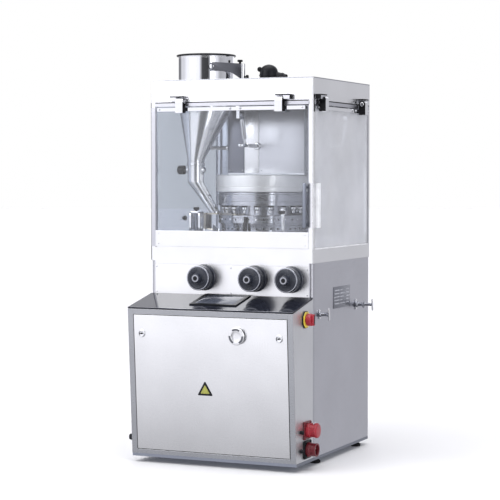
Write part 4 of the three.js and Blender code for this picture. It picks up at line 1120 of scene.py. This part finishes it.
def chamber_fittings():
    """Feeder bracket, scraper post, stop pin, knobs, dust ring, edging and screws of the chamber."""
    blocks("feeder_bracket", MIRROR, [((-222, 62, TABLE_TOP), (-212, 98, 1040)),
                                      ((-180, 62, TABLE_TOP), (-170, 98, 1040)),
                                      ((-222, 62, 1032), (-170, 98, 1040.4)),
                                      ((-232, 58, TABLE_TOP), (-160, 102, 948))], 1.4)

    def clamp(bm):
        add_rod(bm, (-196, 80, 948), (-196, 80, 1032), 9, 32)
        add_rod(bm, (-204, 80, 1000), (-176, 108, 1000), 5, 24)
    piece("feeder_clamp", DARK_STEEL, clamp)
    knob = [(0, 0), (5, 0), (5, 4), (12, 6), (13, 9), (13, 15), (11, 18), (0, 18.5)]
    turned("feeder_knob", BLACK, knob, (-196, 80, 1040.4), UP, 40, soft=1.2)

    def post(bm):
        add_rod(bm, (186, 120, TABLE_TOP), (186, 120, 1026), 8, 32)
        ring = soften([(6, -14), (14, -14), (14, 0), (6, 0), (6, -14)], 1)
        add_lathe(bm, ring, facing((186, 113, 1038), FRONT), 40)
    piece("scraper_post", MIRROR, post)
    foot = [(0, 0), (20, 0), (20, 6), (12, 10), (0, 10)]
    turned("scraper_foot", SATIN, foot, (186, 120, TABLE_TOP), UP, 48)
    bolt = [(0, 0), (5.6, 0), (5.6, 30), (9, 31), (9, 38), (0, 38)]
    turned("scraper_bolt", BLACK, bolt, (186, 128, 1038), FRONT, 28)
    blocks("table_stop_pin", BLACK, [((0, 132, 990), (10, 144, 1018), 1.5),
                                     ((-2, 128, TABLE_TOP), (12, 142, 994), 1.2)])

    wall_low, wall_high = spot("left_window")
    knob = [(0, 0), (7, 0), (7, 6), (11, 7), (11, 15), (9, 17), (0, 17)]
    turned("left_wall_knob", BLACK, knob, (wall_high.x, 291, 1006), RIGHT, 36)
    screws("table_screws", [(x, y, 940) for x in (-320, 330) for y in (40, 330, 600)], UP, 5)
    ring = [(214, 940.2), (222, 940.2), (222, 952), (214, 952)]
    centre = middle("turret")
    turned("dust_ring", SATIN, ring, (centre.x, centre.y, 0), UP, 160, closed=True, soft=1)

    feeder_top = 1029.7
    offsets = [polar(150, degrees) for degrees in (200, 222, 244)] + [(-249, -75), (-249, -45)]
    screws("feed_frame_screws", [(x, 345 + y, feeder_top) for x, y in offsets], UP, 4)
    places = [(wall_high.x - 4.1, y, z) for y in (60, 240, 430, 610) for z in (905, 1485)]
    screws("left_window_screws", places, LEFT, 3.2)
    back = spot("rear_window")[1].y
    places = [(x, back, z) for x in (-335, -110, 110, 335) for z in (905, 1485)]
    places += [(x, back, z) for x in (-335, 335) for z in (1100, 1290)]
    screws("rear_panel_screws", places, BACK, 4)

    def edging(bm):
        outside, inside = wall_low.x - 0.3, wall_high.x + 0.3
        for y in (wall_low.y, wall_high.y - 4):
            add_block(bm, (outside, y, wall_low.z), (inside, y + 4, wall_high.z), 0.3, steps=1)
        add_block(bm, (outside, wall_low.y, wall_high.z - 4), (inside, wall_high.y, wall_high.z), 0.3)
    piece("left_window_edging", GREY_PLATE, edging)


# ------------------------------------------------------------------ drive inside the cabinet
def drive():
    """Worm wheel teeth, worm thread, grooved pulleys, finned motor and their screws."""
    low, high = spot("main_shaft")
    radius = (high.x - low.x) / 2
    centre = Vector(((low.x + high.x) / 2, (low.y + high.y) / 2, 0))
    wheel_middle = 582

    def teeth(bm):
        outline = [(-5.2, -19), (5.2, -19), (5.2, 19), (-5.2, 19)]
        for point, out in around(centre, radius - 1.2, 48):
            place = facing((point.x, point.y, wheel_middle), out)
            root = [bm.verts.new(place @ (Vector((x, y, -1)) * MM)) for x, y in outline]
            tip = [bm.verts.new(place @ (Vector((x * 0.5, y, 1.4)) * MM)) for x, y in outline]
            bm.faces.new(tip)
            bm.faces.new(list(reversed(root)))
            for i in range(4):
                bm.faces.new((root[i - 1], root[i], tip[i], tip[i - 1]))
    piece("worm_wheel_teeth", BRONZE, teeth, "turret_body")

    low, high = spot("worm_shaft")
    y, z = (low.y + high.y) / 2, (low.z + high.z) / 2

    def groove(rim):
        """Profile of a pulley's rim, with the belt's groove."""
        return [(0, 0), (rim, 0), (rim, 3.4), (rim - 7.6, 7.6), (rim - 7.6, 32.4), (rim, 36.6), (rim, 40)]
    worm = groove(100) + [(86, 40), (84, 36), (24, 36), (22, 46), (12, 46), (12, 195)]
    for start in range(196, 336, 14):
        worm += [(19, start), (24, start + 4.5), (24, start + 7), (19, start + 11.5)]
    worm += [(12, 336), (12, high.x - low.x), (0, high.x - low.x)]
    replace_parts(turned("worm_and_pulley", DARK_STEEL, worm, (low.x, y, z), RIGHT, 96, body="worm"),
                "worm_shaft")

    low, high = spot("motor_pulley")
    motor_z = (low.z + high.z) / 2
    reach = high.x - low.x
    small = groove(50) + [(20, 40), (20, 48), (12, 48), (12, reach), (0, reach)]
    pulley = turned("motor_shaft_pulley", DARK_STEEL, small, (low.x, y, motor_z), RIGHT, 72,
                    body="motor_shaft")
    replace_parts(pulley, "motor_pulley")

    left, _, foot = spot("drive_motor")[0]
    shell = [(13, 0), (44, 0), (46, 6), (70, 8), (75, 14), (75, 40)]
    for start in range(44, 209, 15):
        shell += [(69, start), (69, start + 8), (75, start + 9), (75, start + 14)]
    shell += [(75, 240), (62, 258), (56, 262), (13, 262)]
    motor = turned("motor_shell", CAST, shell, (left, y, motor_z), RIGHT, 96, closed=True, soft=0.9)
    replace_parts(motor, "drive_motor")
    blocks("motor_stand", CAST, [
        ((left + 30, y - 70, foot), (left + 210, y + 70, foot + 12)),
        ((left + 40, y - 55, foot + 11), (left + 56, y + 55, motor_z - 64)),
        ((left + 180, y - 55, foot + 11), (left + 196, y + 55, motor_z - 64)),
        ((left + 90, y - 104, motor_z - 26), (left + 170, y - 70, motor_z + 44), 3)], 1.5)
    bolts = [(left + dx, y + dy, foot + 12) for dx in (38, 202) for dy in (-60, 60)]
    screws("motor_bolts", bolts, UP, 6)
    low, high = spot("gear_bed")
    bolts = [(x, bolt_y, 540) for x in (-215, -80, 80, 215) for bolt_y in (low.y + 14, high.y - 14)]
    screws("bed_bolts", bolts, UP, 7)


def wiring():
    """Wiring plate in the console, seen when the door is down: ducts, rails, modules, breakers."""
    blocks("wiring_plate", SHEET_WALL_SHADED, [((-300, -40, 60), (300, -37, 560))], 0.6)

    def ducts(bm):
        for z in (90, 250, 400, 520):
            add_block(bm, (-285, -72, z), (285, -40.2, z + 28), 1)
            for x in range(-280, 280, 10):
                add_block(bm, (x, -72.6, z + 3), (x + 4, -71.6, z + 25), 0, steps=1)
    piece("cable_ducts", DUCT_GREY, ducts)
    modules = []
    x = -270
    for width, height, deep in ((90, 110, 90), (54, 84, 70), (54, 84, 70), (36, 84, 66), (72, 96, 80),
                                (110, 110, 95)):
        modules.append(((x, -40.2 - deep, 290), (x + width, -44, 290 + height), 2))
        x += width + 12
    modules += [((x, -112, 145), (x + 17.6, -44, 228), 1.2) for x in range(-250, -88, 18)]
    modules += [((x, -86, 150), (x + 11, -44, 214), 0.8) for x in range(40, 208, 12)]
    blocks("control_modules", MODULE_GREY, modules)
    blocks("mounting_rails", SATIN, [((-280, -45, z), (280, -39.8, z + 35)) for z in (170, 330)], 0.4)
    screws("breaker_levers", [(x, -112, 190) for x in range(-241, -79, 18)], FRONT, 4, BLACK)


# ------------------------------------------------------------------ camera, light, floor
# Brightness of the surround: by degrees round the machine, and by height from floor to zenith.
CARDS = [(-180, 1.0), (-146, 1.0), (-140, 0.2), (-110, 0.2), (-98, 0.7), (-80, 0.7), (-62, 1.0), (-4, 1.0),
         (8, 0.07), (34, 0.05), (44, 0.8), (70, 0.85), (84, 0.40), (112, 0.5), (135, 0.46), (166, 0.52),
         (179, 1.0)]
HEIGHTS = [(0.0, 0.58), (0.33, 0.72), (0.42, 1.0), (0.49, 1.0), (0.7, 1.0), (1.0, 1.0)]


def show(name, data):
    """Puts a mesh, light or camera in the scene."""
    made = bpy.data.objects.new(name, data)
    bpy.context.scene.collection.objects.link(made)
    return made


def make_camera():
    """Long lens from the front right, a little above the table."""
    data = bpy.data.cameras.new("camera")
    data.lens = 121.83
    data.sensor_width = 36
    data.clip_end = 200
    camera = show("camera", data)
    camera.location = at(2936, -6388, 1183)
    camera.rotation_euler = (math.radians(90 - 2.448), 0, math.radians(24.025))
    bpy.context.scene.camera = camera


def set_ramp(ramp, stops):
    """Fills a colour ramp from (position, grey) stops, each a touch blue."""
    elements = ramp.color_ramp.elements
    while len(elements) < len(stops):
        elements.new(0.5)
    for element, (position, grey) in zip(elements, stops):
        element.position = position
        element.color = (grey, grey, min(grey * 1.03, 1.2), 1)


def make_world():
    """Studio surround: white cards in front and behind, darker gaps between, grey below."""
    world = bpy.data.worlds.new("studio")
    bpy.context.scene.world = world
    world.use_nodes = True
    tree = world.node_tree
    background = tree.nodes["Background"]

    def calculate(operation, *values):
        node = tree.nodes.new("ShaderNodeMath")
        node.operation = operation
        for socket, value in zip(node.inputs, values):
            if isinstance(value, (int, float)):
                socket.default_value = value
            else:
                tree.links.new(value, socket)
        return node.outputs[0]
    where = tree.nodes.new("ShaderNodeTexCoord")
    parts = tree.nodes.new("ShaderNodeSeparateXYZ")
    tree.links.new(where.outputs["Generated"], parts.inputs[0])
    azimuth = calculate("ARCTAN2", parts.outputs["X"], calculate("MULTIPLY", parts.outputs["Y"], -1.0))
    both = tree.nodes.new("ShaderNodeMix")
    both.data_type = "RGBA"
    both.blend_type = "MULTIPLY"
    both.inputs["Factor"].default_value = 1.0
    for stops, share, socket in (
            ([((degrees + 180) / 360, grey) for degrees, grey in CARDS],
             calculate("MULTIPLY_ADD", azimuth, 1 / math.tau, 0.5), both.inputs["A"]),
            (HEIGHTS, calculate("MULTIPLY_ADD", parts.outputs["Z"], 0.5, 0.5), both.inputs["B"])):
        ramp = tree.nodes.new("ShaderNodeValToRGB")
        set_ramp(ramp, stops)
        tree.links.new(share, ramp.inputs["Fac"])
        tree.links.new(ramp.outputs["Color"], socket)
    tree.links.new(both.outputs["Result"], background.inputs["Color"])
    background.inputs["Strength"].default_value = 1.12


def make_light(name, kind, place, aim, size, power):
    data = bpy.data.lights.new(name, kind)
    data.energy = power
    if kind == "AREA":
        data.shape = "RECTANGLE"
        data.size, data.size_y = size
    else:
        data.angle = math.radians(size)
    light = show(name, data)
    light.location = at(*place)
    light.rotation_euler = (at(*aim) - light.location).to_track_quat("-Z", "Y").to_euler()


def make_backdrop():
    """White dome seen behind the machine only; light and reflections pass through it."""
    bm = bmesh.new()
    add_lathe(bm, [(58000, -10), (58000, 30000), (30000, 52000), (0, 58000)], facing((0, 0, 0), UP), 48)
    data = bpy.data.meshes.new("backdrop")
    bm.to_mesh(data)
    bm.free()
    look = Look("backdrop_white", (1, 1, 1), 1.0)
    glow = look.add("ShaderNodeEmission", Strength=1.0)
    look.link(glow.outputs[0], look.tree.nodes["Material Output"].inputs["Surface"])
    data.materials.append(look.material)
    dome = show("backdrop", data)
    dome.visible_glossy = False
    dome.visible_diffuse = False
    dome.visible_transmission = False
    dome.visible_shadow = False


def make_floor():
    reach = 60.0
    data = bpy.data.meshes.new("floor")
    data.from_pydata([(-reach, -reach, 0), (reach, -reach, 0), (reach, reach, 0), (-reach, reach, 0)],
                     [], [(0, 1, 2, 3)])
    look = Look("pale_floor", (0.88, 0.88, 0.885), 0.6, Specular_IOR_Level=0.2)
    look.mottle(look.noise(0.6, 3), (0.87, 0.87, 0.875), (0.89, 0.89, 0.895))
    data.materials.append(look.material)
    floor = show("floor", data)
    floor.visible_glossy = False


make_camera()
make_world()
make_light("sky", "SUN", (0, -300, 5000), (0, 300, 0), 70, 1.7)
make_light("key", "AREA", (-2600, -3600, 3200), (0, 0, 900), (2.6, 2.6), 45)
make_light("fill", "AREA", (2900, -2200, 1500), (300, 200, 900), (1.2, 2.4), 14)
make_floor()
make_backdrop()
dress_nodes()
feet()
cabinet_details()
console_details()
door_fittings()
handwheels()
side_fittings()
hinged_window("front", 349.5, (-222, 229), 340, (2, 48), DARK_STEEL)
hinged_window("side", 313.5, (-267, 198), -300, (91, 136), WHITE_TRIM)
roof_fittings()
hopper()
turret()
head_details()
chamber_fittings()
drive()
wiring()

bpy.context.scene.view_settings.view_transform = "Standard"
